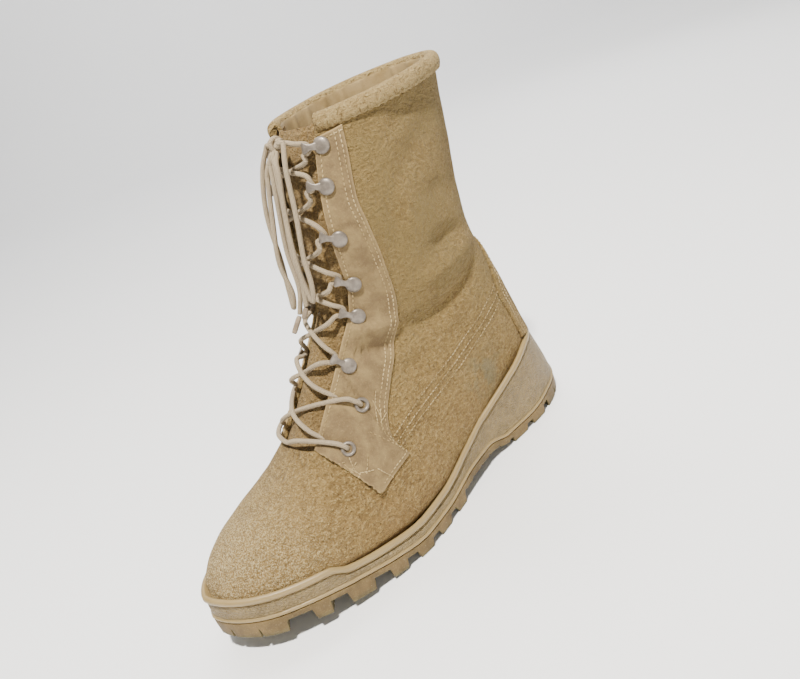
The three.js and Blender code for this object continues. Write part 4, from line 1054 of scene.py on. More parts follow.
def build_outsole():
    outline, outward = sole_outline(70)
    count = len(outline)
    partner = outline[(-np.arange(count)) % count]
    centre = (outline + partner) / 2
    share = forward_of(outline) / LENGTH

    def underside(points):
        forward, across = forward_of(points), points[..., 0] - SIDE_SHIFT
        along = np.clip(forward / LENGTH, 0, 1)
        under = SOLE["parting"](along) - RUBBER
        lugs, ribs = lug_mask(outline, forward, across)
        return under - (under - SOLE["ground"](along)) * lugs - SHANK_RISE * ribs * (1 - lugs), lugs

    edge = outline - outward * 0.8
    edge_z, _ = underside(edge)
    rings, painted_groove_shades, unders = [], [], []
    parting = SOLE["parting"](share)
    for inset, drop in ((9, 0.0), (1.2, 0.0), (0.3, 0.25)):
        ring = outline - outward * inset
        ring[:, 2] = parting - drop
        rings.append(ring)
    for part in np.linspace(0.08, 0.93, 10):
        ring = outline - outward * (0.05 + 0.25 * part)
        ring[:, 2] = parting - 0.6 + (edge_z - parting + 0.6) * part
        rings.append(ring)
    ring = outline - outward * 0.45
    ring[:, 2] = edge_z + 0.35
    rings.append(ring)
    sides = len(rings)
    shares = np.linspace(0, 1, 58) ** 1.05
    for part in shares:
        ring = edge + (centre - edge) * part
        height, lugs = underside(ring)
        ring[:, 2] = height
        rings.append(ring)
        painted_groove_shades.append(1 - lugs)
        unders.append(np.ones(count))
    points = np.array(rings)
    # Mark of painted shade: 1 in the grooves between the lugs underneath, 0 on the lugs and the sides.
    painted_groove_shade = np.concatenate([np.zeros(sides * count), np.concatenate(painted_groove_shades)])
    fade = [np.zeros(count)] * 3
    fade += [np.full(count, step_between(0.55, 1, part)) for part in np.linspace(0, 1, sides - 3)]
    under = np.concatenate([np.concatenate(fade), np.concatenate(unders)])
    flat = points.reshape(-1, 3)
    faces = grid_faces(*points.shape[:2], wrap=True)
    direction = np.tile(outward, (len(points), 1))
    direction[sides * count:] = (0, 0, -1)
    middle = faces[: 6 * count]
    turned = not np.array_equal(faces_out(flat, middle, direction), middle)
    faces = faces[:, ::-1] if turned else faces
    piece = add_piece(
        "outsole_rubber", flat, faces, ["outsole"], [material("rubber")],
        marks={"under": under, "painted_groove_shade": painted_groove_shade},
    )
    close_seams(piece, 0.05)
    sharpen(piece, 38)


def sharpen(piece, degrees):
    """Marks edges sharper than an angle, so that the flats beside them stay flat."""
    mesh = bmesh.new()
    mesh.from_mesh(piece.data)
    for e in mesh.edges:
        if len(e.link_faces) == 2 and e.calc_face_angle() > math.radians(degrees):
            e.smooth = False
    mesh.to_mesh(piece.data)
    mesh.free()


def build_insole():
    source = bpy.data.objects["insole"].data
    piece = bpy.data.objects.new("footbed_cloth", source.copy())
    bpy.context.scene.collection.objects.link(piece)
    piece.data.materials.clear()
    piece.data.materials.append(material("footbed"))
    close_seams(piece)
    bevel = piece.modifiers.new("Bevel", "BEVEL")
    bevel.width, bevel.segments, bevel.limit_method = 0.9 * MM, 3, "ANGLE"
    apply_modifiers(piece)
    finish_piece(piece, ["insole"])


def apply_modifiers(piece):
    """Puts the result of a piece's modifiers into a plain mesh of its own."""
    graph = bpy.context.evaluated_depsgraph_get()
    made = bpy.data.meshes.new_from_object(piece.evaluated_get(graph), depsgraph=graph)
    piece.modifiers.clear()
    piece.data = made


# ------------------------------------------------------------------ leather


def build_upper():
    rows = np.concatenate([
        np.linspace(0.03, 0.5, 5)[:-1], np.linspace(0.5, 6.4, 60)[:-1], np.linspace(6.4, 7.1, 26)[:-1],
        np.linspace(7.1, 13, 80)[:-1], np.linspace(13, LAST_ROW, 92),
    ])
    cols = 184
    closed = rows < THROAT_FRONT
    edge = np.where(closed, math.pi, throat_angle(np.maximum(rows, THROAT_FRONT + 0.002)))
    angle = edge[:, None] * (1 - 2 * np.arange(cols)[None, :] / (cols - 1))
    row = np.broadcast_to(rows[:, None], angle.shape)
    plain, normal = upper_point(row, angle), upper_normal(row, angle)
    worn = relief(plain)
    outside = plain + normal * worn[..., None]
    pleat = step_between(18.5, 20.5, row) * (0.5 + 0.5 * np.cos(angle * 19 + np.sin(row * 3))) ** 4
    wall = LEATHER + 1.3 * pleat * (np.abs(angle) < 2.3)
    inside = plain + normal * (worn - wall)[..., None]
    points, faces, tops = closed_sheet(outside, inside, int(closed.sum()))
    indices = np.zeros(len(faces), int)
    indices[tops:2 * tops] = 1
    piece = add_piece(
        "upper_leather", points, faces, ["upper"],
        [material("suede"), material("lining")], marks={"seam": seam_marks(points)}, indices=indices,
    )
    close_seams(piece, 0.01)


def build_tongue():
    rows = np.linspace(6.35, LAST_ROW - 0.02, 190)
    cols = 90
    half = 31.0
    ridge = upper_point(rows, np.full(rows.shape, math.pi))[:, 0]
    edge = angle_beside_ridge(rows, half, 0.45 * math.pi)
    spread = (math.pi - edge)[:, None] * np.linspace(-1, 1, cols)[None, :]
    row = np.broadcast_to(rows[:, None], spread.shape)
    angle = math.pi + spread
    plain, normal = upper_point(row, angle), upper_normal(row, angle)
    across = (plain[..., 0] - ridge[:, None]) / half
    soft = 0.5 * waves(plain, 41, 34) + 0.25 * waves(plain, 43, 12)
    soft = soft - 1.1 * np.exp(-(((np.abs(across) - 0.42) / 0.07) ** 2)) * step_between(8, 9.5, row)
    soft = soft - 0.9 * np.exp(-(((row % 2.1) - 1.0) / 0.28) ** 2) * step_between(9, 10, row)
    worn = relief(plain)
    lift = worn * 0.7 - LEATHER - GAP - 0.25 + np.minimum(soft, 0.3)
    outside = plain + normal * lift[..., None]
    inside = plain + normal * (lift - 2)[..., None]
    points, faces, _ = closed_sheet(outside, inside)
    add_piece("tongue_leather", points, faces, ["tongue"], [material("tongue")])


def facing_table():
    """Rows and angles of a facing's two edges, from its front to its top."""
    pairs = np.array(FACING_PAIRS, float)
    row, angle = locate(pairs[:, 1], pairs[:, 2])
    at = np.arange(len(pairs))
    fine = np.linspace(0, len(pairs) - 1, 300)
    throat_row = smooth(at, pairs[:, 0])(fine)
    outer_row = smooth(at, row)(fine)
    outer_angle = smooth(at, angle)(fine)
    return throat_row, throat_angle(throat_row), outer_row, outer_angle


FACING = facing_table()


def facing_place(side, share, across):
    """Row and angle on a facing. share: 0 front to 1 top. across: 0 throat to 1 outer edge."""
    at = np.linspace(0, 1, len(FACING[0]))
    inner_row, inner, far_row, far = (np.interp(share, at, values) for values in FACING)
    row = inner_row + (far_row - inner_row) * across
    return row, side * (inner + (far - inner) * across)


def facing_width(side, share):
    a = upper_point(*facing_place(side, share, np.zeros_like(share)))
    b = upper_point(*facing_place(side, share, np.ones_like(share)))
    return np.linalg.norm(b - a, axis=-1)


def build_facing(side, name):
    share = np.linspace(0, 1, 330)
    across = np.concatenate([[0, 0.012, 0.03], np.linspace(0.06, 0.94, 34), [0.97, 0.988, 1]])
    s, a = np.meshgrid(share, across, indexing="ij")
    width = facing_width(side, share)[:, None]
    ragged = 0.012 + 0.012 * np.sin(a * 61) * np.sin(a * 23 + 1) + 0.008 * np.sin(a * 140)
    place = facing_place(side, ragged + (1 - ragged) * s, a)
    steps = np.linalg.norm(np.diff(upper_point(*place), axis=0), axis=-1)
    front = np.concatenate([np.zeros((1, len(across))), np.cumsum(steps, 0)])
    from_edge = np.minimum(np.minimum(a, 1 - a) * width, np.minimum(front, front[-1] - front))
    lift = GAP + OVERLAY * (0.45 + 0.55 * np.sqrt(np.clip(from_edge / 0.9, 0, 1)))
    curl = np.exp(-((front / 5.5) ** 2)) * step_between(0.05, 0.3, a) * (1.3 + 0.9 * np.sin(a * 9))
    rng = np.random.default_rng(7 + side)
    fray = rng.normal(0, 0.2, s.shape) * np.exp(-((front / 1.0) ** 2))
    outside = upper_surface(*place, lift + curl + fray)
    inside = upper_surface(*place, np.full(s.shape, 0.12) + curl)
    points, faces, _ = closed_sheet(outside, inside)
    edge = np.exp(-((from_edge / 0.7) ** 2)).ravel()
    add_piece(
        name, points, faces, ["facing_outer" if side > 0 else "facing_inner"],
        [material("facing")], marks={"edge": np.concatenate([edge, np.ones(len(edge))])},
    )


def backstay_place(up, across):
    """Row and angle on the backstay. across: -1 inner edge, 1 outer edge."""
    edge = np.array(BACKSTAY_EDGE, float)
    forward = smooth(edge[:, 1], edge[:, 0])(up)
    side_row, side_angle = locate(forward, up)
    rows = np.linspace(12, LAST_ROW, 400)
    back = np.interp(up, SECTION["backUp"](rows) * SHAFT_HEIGHT, rows)
    row = back + (side_row - back) * np.abs(across) ** 1.6
    return row, side_angle * across


def build_backstay():
    low, high, half_width = 61, 157, 30
    up, across = np.meshgrid(np.linspace(low, high, 110), np.linspace(-1, 1, 90), indexing="ij")
    near = np.minimum((1 - np.abs(across)) * half_width, np.minimum(up - low, high - up))
    lift = GAP + OVERLAY * (0.4 + 0.6 * np.sqrt(np.clip(near / 1.2, 0, 1)))
    place = backstay_place(up, across)
    outside = upper_surface(*place, lift)
    inside = upper_surface(*place, np.full(lift.shape, 0.1))
    points, faces, _ = closed_sheet(outside, inside)
    add_piece("backstay_leather", points, faces, ["backstay"], [material("suede")])


# Section of the collar: out from the upper's outside, up from the rim.
COLLAR = (
    (0.35, -5.2), (1.2, -5.9), (2.2, -5.4), (3.0, -3.6), (3.3, -1.6), (3.1, 0.4), (2.4, 2.2), (1.0, 3.4),
    (-0.8, 3.9), (-2.6, 3.6), (-4.2, 2.5), (-5.1, 0.8), (-5.3, -2), (-5.2, -6), (-4.9, -10), (-4.4, -11.6),
    (-3.2, -11.4), (-2.8, -8), (-2.75, -1), (-1.2, 0.25), (0.3, -0.4),
)


def build_collar():
    end = float(throat_angle(np.array(float(LAST_ROW)))) - 0.02
    angles = np.linspace(end, -end, 230)
    section = np.array(COLLAR, float)
    at = np.arange(len(section) + 1)
    loop = np.vstack([section, section[:1]])
    fine = np.linspace(0, len(section), 3 * len(section) + 1)[:-1]
    out = cubic(at, loop[:, 0], fine)
    up = cubic(at, loop[:, 1], fine)
    rim = np.full(angles.shape, float(LAST_ROW))
    base, normal = upper_surface(rim, angles), upper_normal(rim, angles)
    normal[:, 2] = 0
    normal = unit(normal)
    plump = 1 + 0.05 * waves(base, 51, 26)
    pleat = 0.5 + 0.5 * np.cos(angles * 21)
    inner = (out < -3.4) & (up < 1)
    fold = 1.1 * pleat**5 * (np.abs(angles) < 2.2)
    reach = out[None, :] * plump[:, None] - inner[None, :] * fold[:, None]
    points = base[:, None] + normal[:, None] * reach[..., None]
    points[..., 2] += up[None, :] + 0.35 * waves(base, 53, 40)[:, None]
    tilt = np.where(up[None, :] < -4.5, 0.35 * np.sin(angles * 70)[:, None], 0)
    points[..., 2] += tilt
    rows, cols = points.shape[:2]
    flat = points.reshape(-1, 3)
    centre = points.mean(1, keepdims=True)
    faces = grid_faces(rows, cols, wrap=True)
    faces = faces_out(flat, faces, (points - centre).reshape(-1, 3))
    caps = [tuple(range(cols)), tuple(range((rows - 1) * cols, rows * cols))]
    every = [tuple(f) for f in faces] + caps
    of_cloth = [1 if inner[f[0] % cols] and inner[f[1] % cols] else 0 for f in faces] + [0, 0]
    piece = add_piece(
        "collar_roll", flat, every, ["collar"],
        [material("collar"), material("pleats")], indices=of_cloth,
    )
    close_seams(piece, 0.005)


# ------------------------------------------------------------------ hardware


def build_eyelet(number, seat, kind):
    big = kind == "eyelet"
    rim, bore = (4.4, 2.3) if big else (4.3, 2.35)
    roll = [
        (rim + 0.1, 0.1), (rim + 0.15, 0.6), (rim - 0.2, 1.25), (rim - 0.9, 1.6), (bore + 0.9, 1.55),
        (bore + 0.3, 1.1), (bore, 0.3), (bore, -LEATHER - 1), (bore + 0.6, -LEATHER - 1), (bore + 0.6, 0.1),
    ]
    points, faces = lathe(roll, 44)
    disc = [(0.02, -0.75), (bore + 0.02, -0.75), (bore + 0.02, -1.2), (0.02, -1.2)]
    dark_points, dark_faces = lathe(disc, 24)
    every = np.concatenate([faces, dark_faces + len(points)])
    indices = [0] * len(faces) + [1] * len(dark_faces)
    place = moved(seated(seat), np.concatenate([points, dark_points]))
    piece = add_piece(
        f"{kind}_ring_{number}", place, every, [f"{kind}_{number}"],
        [material("metal"), material("hole")], indices=indices,
    )
    close_seams(piece, 0.03)


# Section of a hook's disc: radius and height over the leather.
HOOK_DISC = (
    (0.02, 0.15), (4.3, 0.15), (4.75, 0.35), (4.8, 0.8), (4.45, 1.35), (3.6, 1.85), (2.2, 2.2), (0.9, 2.3),
    (0.02, 2.3),
)
# Arm of a hook, from its disc towards the throat: reach, half width, low, high over the leather.
HOOK_ARM = (
    (1.0, 2.3, 0.5, 1.7), (3.5, 2.1, 0.6, 2.2), (5.4, 1.75, 0.9, 2.5), (7.2, 1.9, 1.1, 2.7),
    (8.8, 2.6, 1.2, 2.7), (10.0, 3.3, 1.1, 2.5), (10.9, 3.1, 0.8, 2.0), (11.4, 2.2, 0.6, 1.5),
)


def build_hook(number, seat):
    points, faces = lathe(HOOK_DISC, 40)
    arm = np.array(HOOK_ARM, float)
    at = np.arange(len(arm))
    fine = np.linspace(0, len(arm) - 1, 40)
    reach, half, low, high = (cubic(at, arm[:, k], fine) for k in range(4))
    sides = 20
    turn = np.linspace(0, 2 * math.pi, sides, endpoint=False)
    c, s = np.cos(turn), np.sin(turn)
    wide = np.sign(c) * np.abs(c) ** 0.6
    tall = np.sign(s) * np.abs(s) ** 0.7
    middle, thick = (low + high) / 2, (high - low) / 2
    dish = 0.35 * np.clip((reach - 6) / 4, 0, 1)
    ring = np.stack([
        np.repeat(reach[:, None], sides, 1), half[:, None] * wide[None, :],
        middle[:, None] + thick[:, None] * tall[None, :] - dish[:, None] * (1 - wide[None, :] ** 2),
    ], -1)
    last = (len(fine) - 1) * sides
    arm_faces = [*grid_faces(len(fine), sides, wrap=True), np.arange(sides), np.arange(last, last + sides)]
    every = [*faces, *(face + len(points) for face in arm_faces)]
    place = moved(seated(seat, 0.1), np.concatenate([points, ring.reshape(-1, 3)]))
    piece = add_piece(
        f"hook_cap_{number}", place, every, [f"hook_{number}"], [material("metal")],
    )
    close_seams(piece, 0.03)


# ------------------------------------------------------------------ lace

STATION_SEATS = {
    side: [seat for seat in EYELET_SEATS + HOOK_SEATS if seat[2] == side] for side in (1, -1)
}
STATION_ROWS = [seat[0] for seat in STATION_SEATS[1]]
EYELETS = len(EYELET_ROWS)
# The lace at a seat: towards the throat, across, lift.
INTO_EYELET = ((9.5, 1.4, 2.4), (5.6, 0.6, 2.3), (2.6, 0, 2.0), (0.9, 0, 0.4), (0.6, 0, -0.8))
OUT_OF_EYELET = ((0.6, 0, -0.8), (0.9, 0, 0.4), (2.8, 0.2, 2.1), (7, 1.2, 2.4))
ROUND_HOOK = ((12.2, 3.3, -0.4), (9.0, 2.0, 0), (7.9, 0, 0.1), (9.2, -2.2, 0.2))


def at_seat(seat, along, across, lift):
    """A point by a seat, with its height over the plain upper."""
    matrix = seated((*seat[:3], 0))
    return moved(matrix, np.array([[along, across, lift]]))[0]


def ridge_row(point):
    """Row where the ridge passes nearest to a point, seen from the side."""
    rows = np.arange(THROAT[0][0] - 0.4, LAST_ROW, 0.05)
    ridge = upper_point(rows, math.pi)
    return rows[np.argmin(np.hypot(ridge[:, 1] - point[1], ridge[:, 2] - point[2]))]


def crossing(start, end, over, raised=0.0):
    """Points of the lace across the throat between two places."""
    side = np.sign(start[0] - end[0])
    points = []
    for share, sideways, lift in ((0.2, side, -0.2), (0.5, 0, 2.4 if over else -0.5), (0.8, -side, -0.2)):
        row = ridge_row(start + (end - start) * share)
        points.append(over_ridge(row, sideways * (throat_half(row) - 4.5), lift + raised))
    return points


def cord_radius():
    """Half the lace's diameter, in millimetres."""
    return bpy.context.scene.boot_sizes.lace_diameter / MM / 2


def strands_of(first):
    """The pieces of one lace that show, from under the bottom eyelet of one side to its top hook."""
    side, pieces = first, []
    for i in range(EYELETS):
        over = (i % 2 == 0) == (first > 0)
        start = at_seat(STATION_SEATS[side][i], 9.5, 2 * side, -1.2)
        side = -side
        seat = STATION_SEATS[side][i + 1]
        if i + 1 < EYELETS:
            path = [start, *crossing(start, at_seat(seat, 8, 0, 2), over, 0.4)[:2]]
            path += [at_seat(seat, x, y * side, FACED + z) for x, y, z in INTO_EYELET]
            pieces.append(path)
    path = [start, *crossing(start, at_seat(seat, 10, 0, 0), over)]
    for i in range(EYELETS, len(STATION_ROWS)):
        seat = STATION_SEATS[side][i]
        path += [at_seat(seat, x, y * side, z) for x, y, z in ROUND_HOOK]
        if i + 1 < len(STATION_ROWS):
            over = (i % 2 == 0) == (first > 0)
            path += crossing(path[-1], at_seat(STATION_SEATS[-side][i + 1], 12, 3 * -side, 0), over)
            side = -side
    knot = over_ridge(KNOT_ROW, 0, KNOT_LIFT)
    path += [over_ridge(21.1, side * 13, 3.4), over_ridge(21.2, side * 8, 5.8), knot + (side * 4, 0, -0.6)]
    pieces.append(path)
    return [resample(piece, 1.0) for piece in pieces]


def build_lace():
    radius = cord_radius()
    strands = [tube(path, radius) for first in (1, -1) for path in strands_of(first)]
    ends = [
        [at_seat(STATION_SEATS[side][0], x, y * side, FACED + z) for x, y, z in OUT_OF_EYELET]
        for side in (1, -1)
    ]
    row = ridge_row((ends[0][-1] + ends[1][-1]) / 2)
    over = ((-0.25, 10, 3.0), (-0.42, 0, 2.7), (-0.3, -10, 3.0))
    bar = [*ends[0], *(over_ridge(row + shift, across, lift) for shift, across, lift in over), *ends[1][::-1]]
    strands.append(tube(resample(bar, 1.0), radius))
    points, faces, uv = merged(strands)
    add_piece("lace_strands", points, faces, ["lace_crossings"], [material("braid")], uv=uv)


def bow_route(rows):
    return [over_ridge(row, across, lift) for across, row, lift in rows]


# The knot's two straight turns from its middle: across, down, out.
KNOT_WRAPS = (
    ((-6.2, -0.8, 0), (-3.4, -1.4, 1.2), (0, 0, 0.2), (3.4, 1.3, 1.2), (6.2, 0.8, 0)),
    ((-6, 1.4, -0.6), (-3, 1.7, 0.2), (0, -0.2, -1.2), (3, -1.6, 0.3), (6, -1.3, -0.6)),
)


def build_knot():
    """The knot's wraps, seen as lace turned round lace."""
    radius = cord_radius()
    middle = over_ridge(KNOT_ROW, 0, KNOT_LIFT)
    out = upper_normal(np.array(KNOT_ROW), np.array(math.pi))
    across = np.array([1.0, 0.0, 0.0])
    down = np.cross(across, out)
    turn = np.linspace(-0.3, 2 * math.pi + 0.3, 26)
    spiral = [(0.9 * math.sin(t * 0.5) - 0.4, 3.4 * math.sin(t), 3.1 * math.cos(t)) for t in turn]
    wraps = [[middle + across * x + out * z + down * y for x, y, z in wrap] for wrap in (spiral, *KNOT_WRAPS)]
    runs = []
    for rows in BOW.values():
        route = bow_route(rows)
        for near, far in ((route[0], route[1]), (route[-1], route[-2])):
            if np.linalg.norm(near - middle) < np.linalg.norm(middle - route[len(route) // 2]) * 0.5:
                runs.append([middle + (near - middle) * 0.25, middle + (near - middle) * 0.65 + out, near,
                             near + unit(far - near) * 0.5])
    parts = [tube(resample(path, 0.8), radius) for path in (*wraps, *runs)]
    points, faces, uv = merged(parts)
    add_piece("lace_bow_knot", points, faces, ["lace_knot"], [material("braid")], uv=uv)


def build_bow():
    for name, rows in AGLETS.items():
        path = resample(bow_route(rows), 0.6)
        ends = np.minimum(np.arange(len(path)), np.arange(len(path))[::-1]) * 0.6
        points, faces, uv = tube(path, 1.62 - 0.35 * np.exp(-((ends / 0.8) ** 2)), 18)
        add_piece(name + "_tip", points, faces, [name], [material("tip")], uv=uv)
    for name, rows in BOW.items():
        path = resample(bow_route(rows), 1.0)
        points, faces, uv = tube(path, cord_radius())
        piece = add_piece(name + "_cord", points, faces, [name], [material("braid")], uv=uv)


# ------------------------------------------------------------------ stitches


STITCH_LIFT = 0.12  # middle of a stitch over its leather


def stitch_nodes():
    """Node group that lays capsule stitches along lines, upright on the leather."""
    group = bpy.data.node_groups.new("stitches_on_lines", "GeometryNodeTree")
    face = group.interface
    face.new_socket("Lines", in_out="INPUT", socket_type="NodeSocketGeometry")
    inputs = {}
    for name, kind in (("Pitch", "Float"), ("Length", "Float"), ("Width", "Float"), ("Seed", "Int"),
                       ("Thread", "Material")):
        inputs[name] = face.new_socket(name, in_out="INPUT", socket_type=f"NodeSocket{kind}").identifier
    face.new_socket("Stitches", in_out="OUTPUT", socket_type="NodeSocketGeometry")
    nodes = group.nodes
    start, end = nodes.new("NodeGroupInput"), nodes.new("NodeGroupOutput")
    curve = nodes.new("GeometryNodeMeshToCurve")
    spaced = nodes.new("GeometryNodeResampleCurve")
    spaced.mode = "LENGTH"
    drop = nodes.new("GeometryNodeMeshUVSphere")
    drop.inputs["Segments"].default_value, drop.inputs["Rings"].default_value = 8, 6
    drop.inputs["Radius"].default_value = 0.5
    size = nodes.new("ShaderNodeCombineXYZ")
    tangent = nodes.new("GeometryNodeInputTangent")
    out = nodes.new("GeometryNodeInputNamedAttribute")
    out.data_type = "FLOAT_VECTOR"
    out.inputs["Name"].default_value = "out"
    lie, stand = (nodes.new("FunctionNodeAlignRotationToVector") for _ in range(2))
    lie.axis, stand.axis, stand.pivot_axis = "X", "Z", "X"
    random = nodes.new("FunctionNodeRandomValue")
    random.data_type = "FLOAT_VECTOR"
    random.inputs["Min"].default_value = (-0.06, -0.03, -0.12)
    random.inputs["Max"].default_value = (0.06, 0.03, 0.12)
    turned = nodes.new("FunctionNodeRotateRotation")
    turned.rotation_space = "LOCAL"
    place = nodes.new("GeometryNodeInstanceOnPoints")
    real, coat = nodes.new("GeometryNodeRealizeInstances"), nodes.new("GeometryNodeSetMaterial")
    for source, target in (
        (start.outputs["Lines"], curve.inputs["Mesh"]), (curve.outputs["Curve"], spaced.inputs["Curve"]),
        (start.outputs["Pitch"], spaced.inputs["Length"]), (start.outputs["Length"], size.inputs["X"]),
        (start.outputs["Width"], size.inputs["Y"]), (start.outputs["Width"], size.inputs["Z"]),
        (tangent.outputs[0], lie.inputs["Vector"]), (lie.outputs[0], stand.inputs["Rotation"]),
        (next(o for o in out.outputs if o.enabled), stand.inputs["Vector"]),
        (start.outputs["Seed"], random.inputs["Seed"]), (stand.outputs[0], turned.inputs["Rotation"]),
        (next(o for o in random.outputs if o.enabled), turned.inputs["Rotate By"]),
        (spaced.outputs["Curve"], place.inputs["Points"]), (drop.outputs["Mesh"], place.inputs["Instance"]),
        (turned.outputs[0], place.inputs["Rotation"]), (size.outputs[0], place.inputs["Scale"]),
        (place.outputs["Instances"], real.inputs[0]), (real.outputs[0], coat.inputs["Geometry"]),
        (start.outputs["Thread"], coat.inputs["Material"]), (coat.outputs[0], end.inputs[0]),
    ):
        group.links.new(source, target)
    return group, inputs


def sew(name, lines, pitch=None):
    """One piece of stitches from lines of (row, angle, lift) on the worn upper."""
    sizes = bpy.context.scene.boot_sizes
    points, normals, edges = [], [], []
    for row, angle, lift in lines:
        here = upper_surface(row, angle, lift)
        start = sum(map(len, points))
        points.append(here)
        normals.append(upper_normal(row, angle))
        edges += [(start + i, start + i + 1) for i in range(len(here) - 1)]
    mesh = bpy.data.meshes.new(name)
    mesh.from_pydata((np.concatenate(points) * MM).tolist(), edges, [])
    out = mesh.attributes.new("out", "FLOAT_VECTOR", "POINT")
    out.data.foreach_set("vector", np.concatenate(normals).ravel())
    piece = bpy.data.objects.new(name, mesh)
    bpy.context.scene.collection.objects.link(piece)
    group, inputs = stitch_nodes()
    nodes = piece.modifiers.new("Stitches", "NODES")
    nodes.node_group = group
    values = {
        "Pitch": pitch or sizes.stitch_pitch, "Length": sizes.stitch_length, "Width": sizes.stitch_width,
        "Seed": 11, "Thread": material("thread"),
    }
    for socket, value in values.items():
        nodes[inputs[socket]] = value
    apply_modifiers(piece)
    piece.data.polygons.foreach_set("use_smooth", np.ones(len(piece.data.polygons), bool))
    finish_piece(piece, [])


def seam_line(side, path):
    route = resample([(0, *p) for p in path], 1.6)
    row, angle = locate(route[:, 1], route[:, 2], side)
    return row, angle, np.full(len(row), STITCH_LIFT)


def facing_line(side, inset, start=0.02, end=0.985, throat=False, count=330):
    """A line on a facing, inset millimetres from its outer or throat edge."""
    share = np.linspace(start, end, count)
    part = inset / facing_width(side, share)
    row, angle = facing_place(side, share, part if throat else 1 - part)
    return row, angle, np.full(count, FACED + STITCH_LIFT)


def facing_cross(side, share, start, end, count=40):
    across = np.linspace(start, end, count)
    row, angle = facing_place(side, np.full(count, share), across)
    return row, angle, np.full(count, FACED + STITCH_LIFT)


def mended_lines(side, count=16):
    """Short crooked rows where the facing's foot was sewn down again."""
    rng = np.random.default_rng(29)
    lines = []
    for k in range(count):
        share, across = rng.uniform(0.05, 0.13), rng.uniform(0.4, 0.92)
        if k % 4 == 3:
            share, across = rng.uniform(0.36, 0.39), rng.uniform(0.78, 0.95)
        turn, reach = rng.uniform(0, math.pi), rng.uniform(0.5, 1.0)
        bend = np.linspace(-1, 1, 5)
        row, angle = facing_place(
            side, share + 0.03 * reach * bend * math.sin(turn), across + 0.09 * reach * bend * math.cos(turn))
        lines.append((row, angle, FACED + 0.35 + 0.5 * np.exp(-((share / 0.1) ** 2)) + 0 * bend))
    return lines


def build_seams():
    lines = [seam_line(side, path) for side in (1, -1) for path in (SEAM_UPPER, SEAM_MIDDLE, SEAM_LOWER)]
    sew("counter_stitches", lines)
    for side, name in ((1, "outer"), (-1, "inner")):
        lines = [
            facing_line(side, 2.3, 0.08), facing_line(side, 5.1, 0.3),
            facing_line(side, 3.4, 0.12, 0.985, throat=True), facing_cross(side, 0.985, 0.1, 0.92),
            facing_cross(side, 0.27, 0.62, 0.93),
        ]
        sew(f"facing_stitches_{name}", lines)
        sew(f"mended_stitches_{name}", mended_lines(side), pitch=0.0019)
    up = np.linspace(64, 154, 120)
    lines = []
    for side in (1, -1):
        for inset in (0.9, 0.8):
            row, angle = backstay_place(up, np.full(len(up), side * inset))
            lines.append((row, angle, np.full(len(up), FACED + STITCH_LIFT)))
    sew("backstay_stitches", lines)


# ------------------------------------------------------------------ stage


def build_stage():
    start, bend, radius = FLOOR["near"], FLOOR["bend"], FLOOR["radius"]
    turn = np.linspace(0, math.pi / 2, 17)
    profile = [(start, 0.0)]
    profile += [(bend + radius * math.sin(t), radius - radius * math.cos(t)) for t in turn]
    profile.append((bend + radius, FLOOR["height"]))
    half = FLOOR["half_width"]
    points = [AWAY * out + ALONG * side + (0, 0, up) for out, up in profile for side in (-half, half)]
    mesh = bpy.data.meshes.new("floor")
    faces = [tuple(map(int, face)) for face in grid_faces(len(profile), 2)]
    mesh.from_pydata([tuple(p) for p in points], [], faces)
    mesh.polygons.foreach_set("use_smooth", np.ones(len(mesh.polygons), bool))
    floor = bpy.data.objects.new("floor", mesh)
    bpy.context.scene.collection.objects.link(floor)
    g = Graph("pale_floor")
    pale = g.blend(g.noise(400, 2, 0.5), (0.92, 0.92, 0.92), (0.95, 0.95, 0.95))
    mesh.materials.append(g.finish(pale, 0.9, specular=0.2))
    for name, place, width, power, tint, aim in LIGHTS:
        light = bpy.data.lights.new(name, "AREA")
        light.size, light.energy, light.color = width, power, tint
        lamp = bpy.data.objects.new(name, light)
        lamp.location = place
        lamp.rotation_euler = (Vector(aim) - Vector(place)).to_track_quat("-Z", "Y").to_euler()
        bpy.context.scene.collection.objects.link(lamp)
    world = bpy.data.worlds.new("studio")
    world.use_nodes = True
    background = world.node_tree.nodes["Background"]
    background.inputs["Color"].default_value = (1, 1, 1, 1)
    background.inputs["Strength"].default_value = SKY_STRENGTH
    bpy.context.scene.world = world


def build_camera():
    eye, look = Vector(CAMERA["eye"]) * MM, Vector(CAMERA["look"]) * MM
    ahead = (look - eye).normalized()
    level = ahead.cross(Vector((0, 0, 1))).normalized()
    roll = math.radians(CAMERA["roll"])
    right = level * math.cos(roll) + level.cross(ahead) * math.sin(roll)
    matrix = Matrix((right, right.cross(ahead), -ahead)).transposed().to_4x4()
    matrix.translation = eye
    data = bpy.data.cameras.new("camera")
    data.lens, data.sensor_width, data.clip_start = CAMERA["lens"], 36, 0.01
    camera = bpy.data.objects.new("camera", data)
    camera.matrix_world = matrix
    bpy.context.scene.collection.objects.link(camera)
    bpy.context.scene.camera = camera


# ------------------------------------------------------------------ add-on


class BootSizes(bpy.types.PropertyGroup):
    """Sizes that can be changed without touching the tables."""

    lace_diameter: bpy.props.FloatProperty(
        name="Lace diameter", description="Diameter of the round lace", default=CORD * MM, unit="LENGTH")
    stitch_pitch: bpy.props.FloatProperty(
        name="Stitch pitch", description="From one stitch to the next", default=0.0027, unit="LENGTH")
    stitch_length: bpy.props.FloatProperty(
        name="Stitch length", description="Thread seen at each stitch", default=0.0021, unit="LENGTH")
    stitch_width: bpy.props.FloatProperty(
        name="Stitch width", description="Thickness of the thread", default=0.00075, unit="LENGTH")


def colour_property(name, description, default):
    return bpy.props.FloatVectorProperty(
        name=name, description=description, default=hexed(default), subtype="COLOR", min=0, max=1,
    )


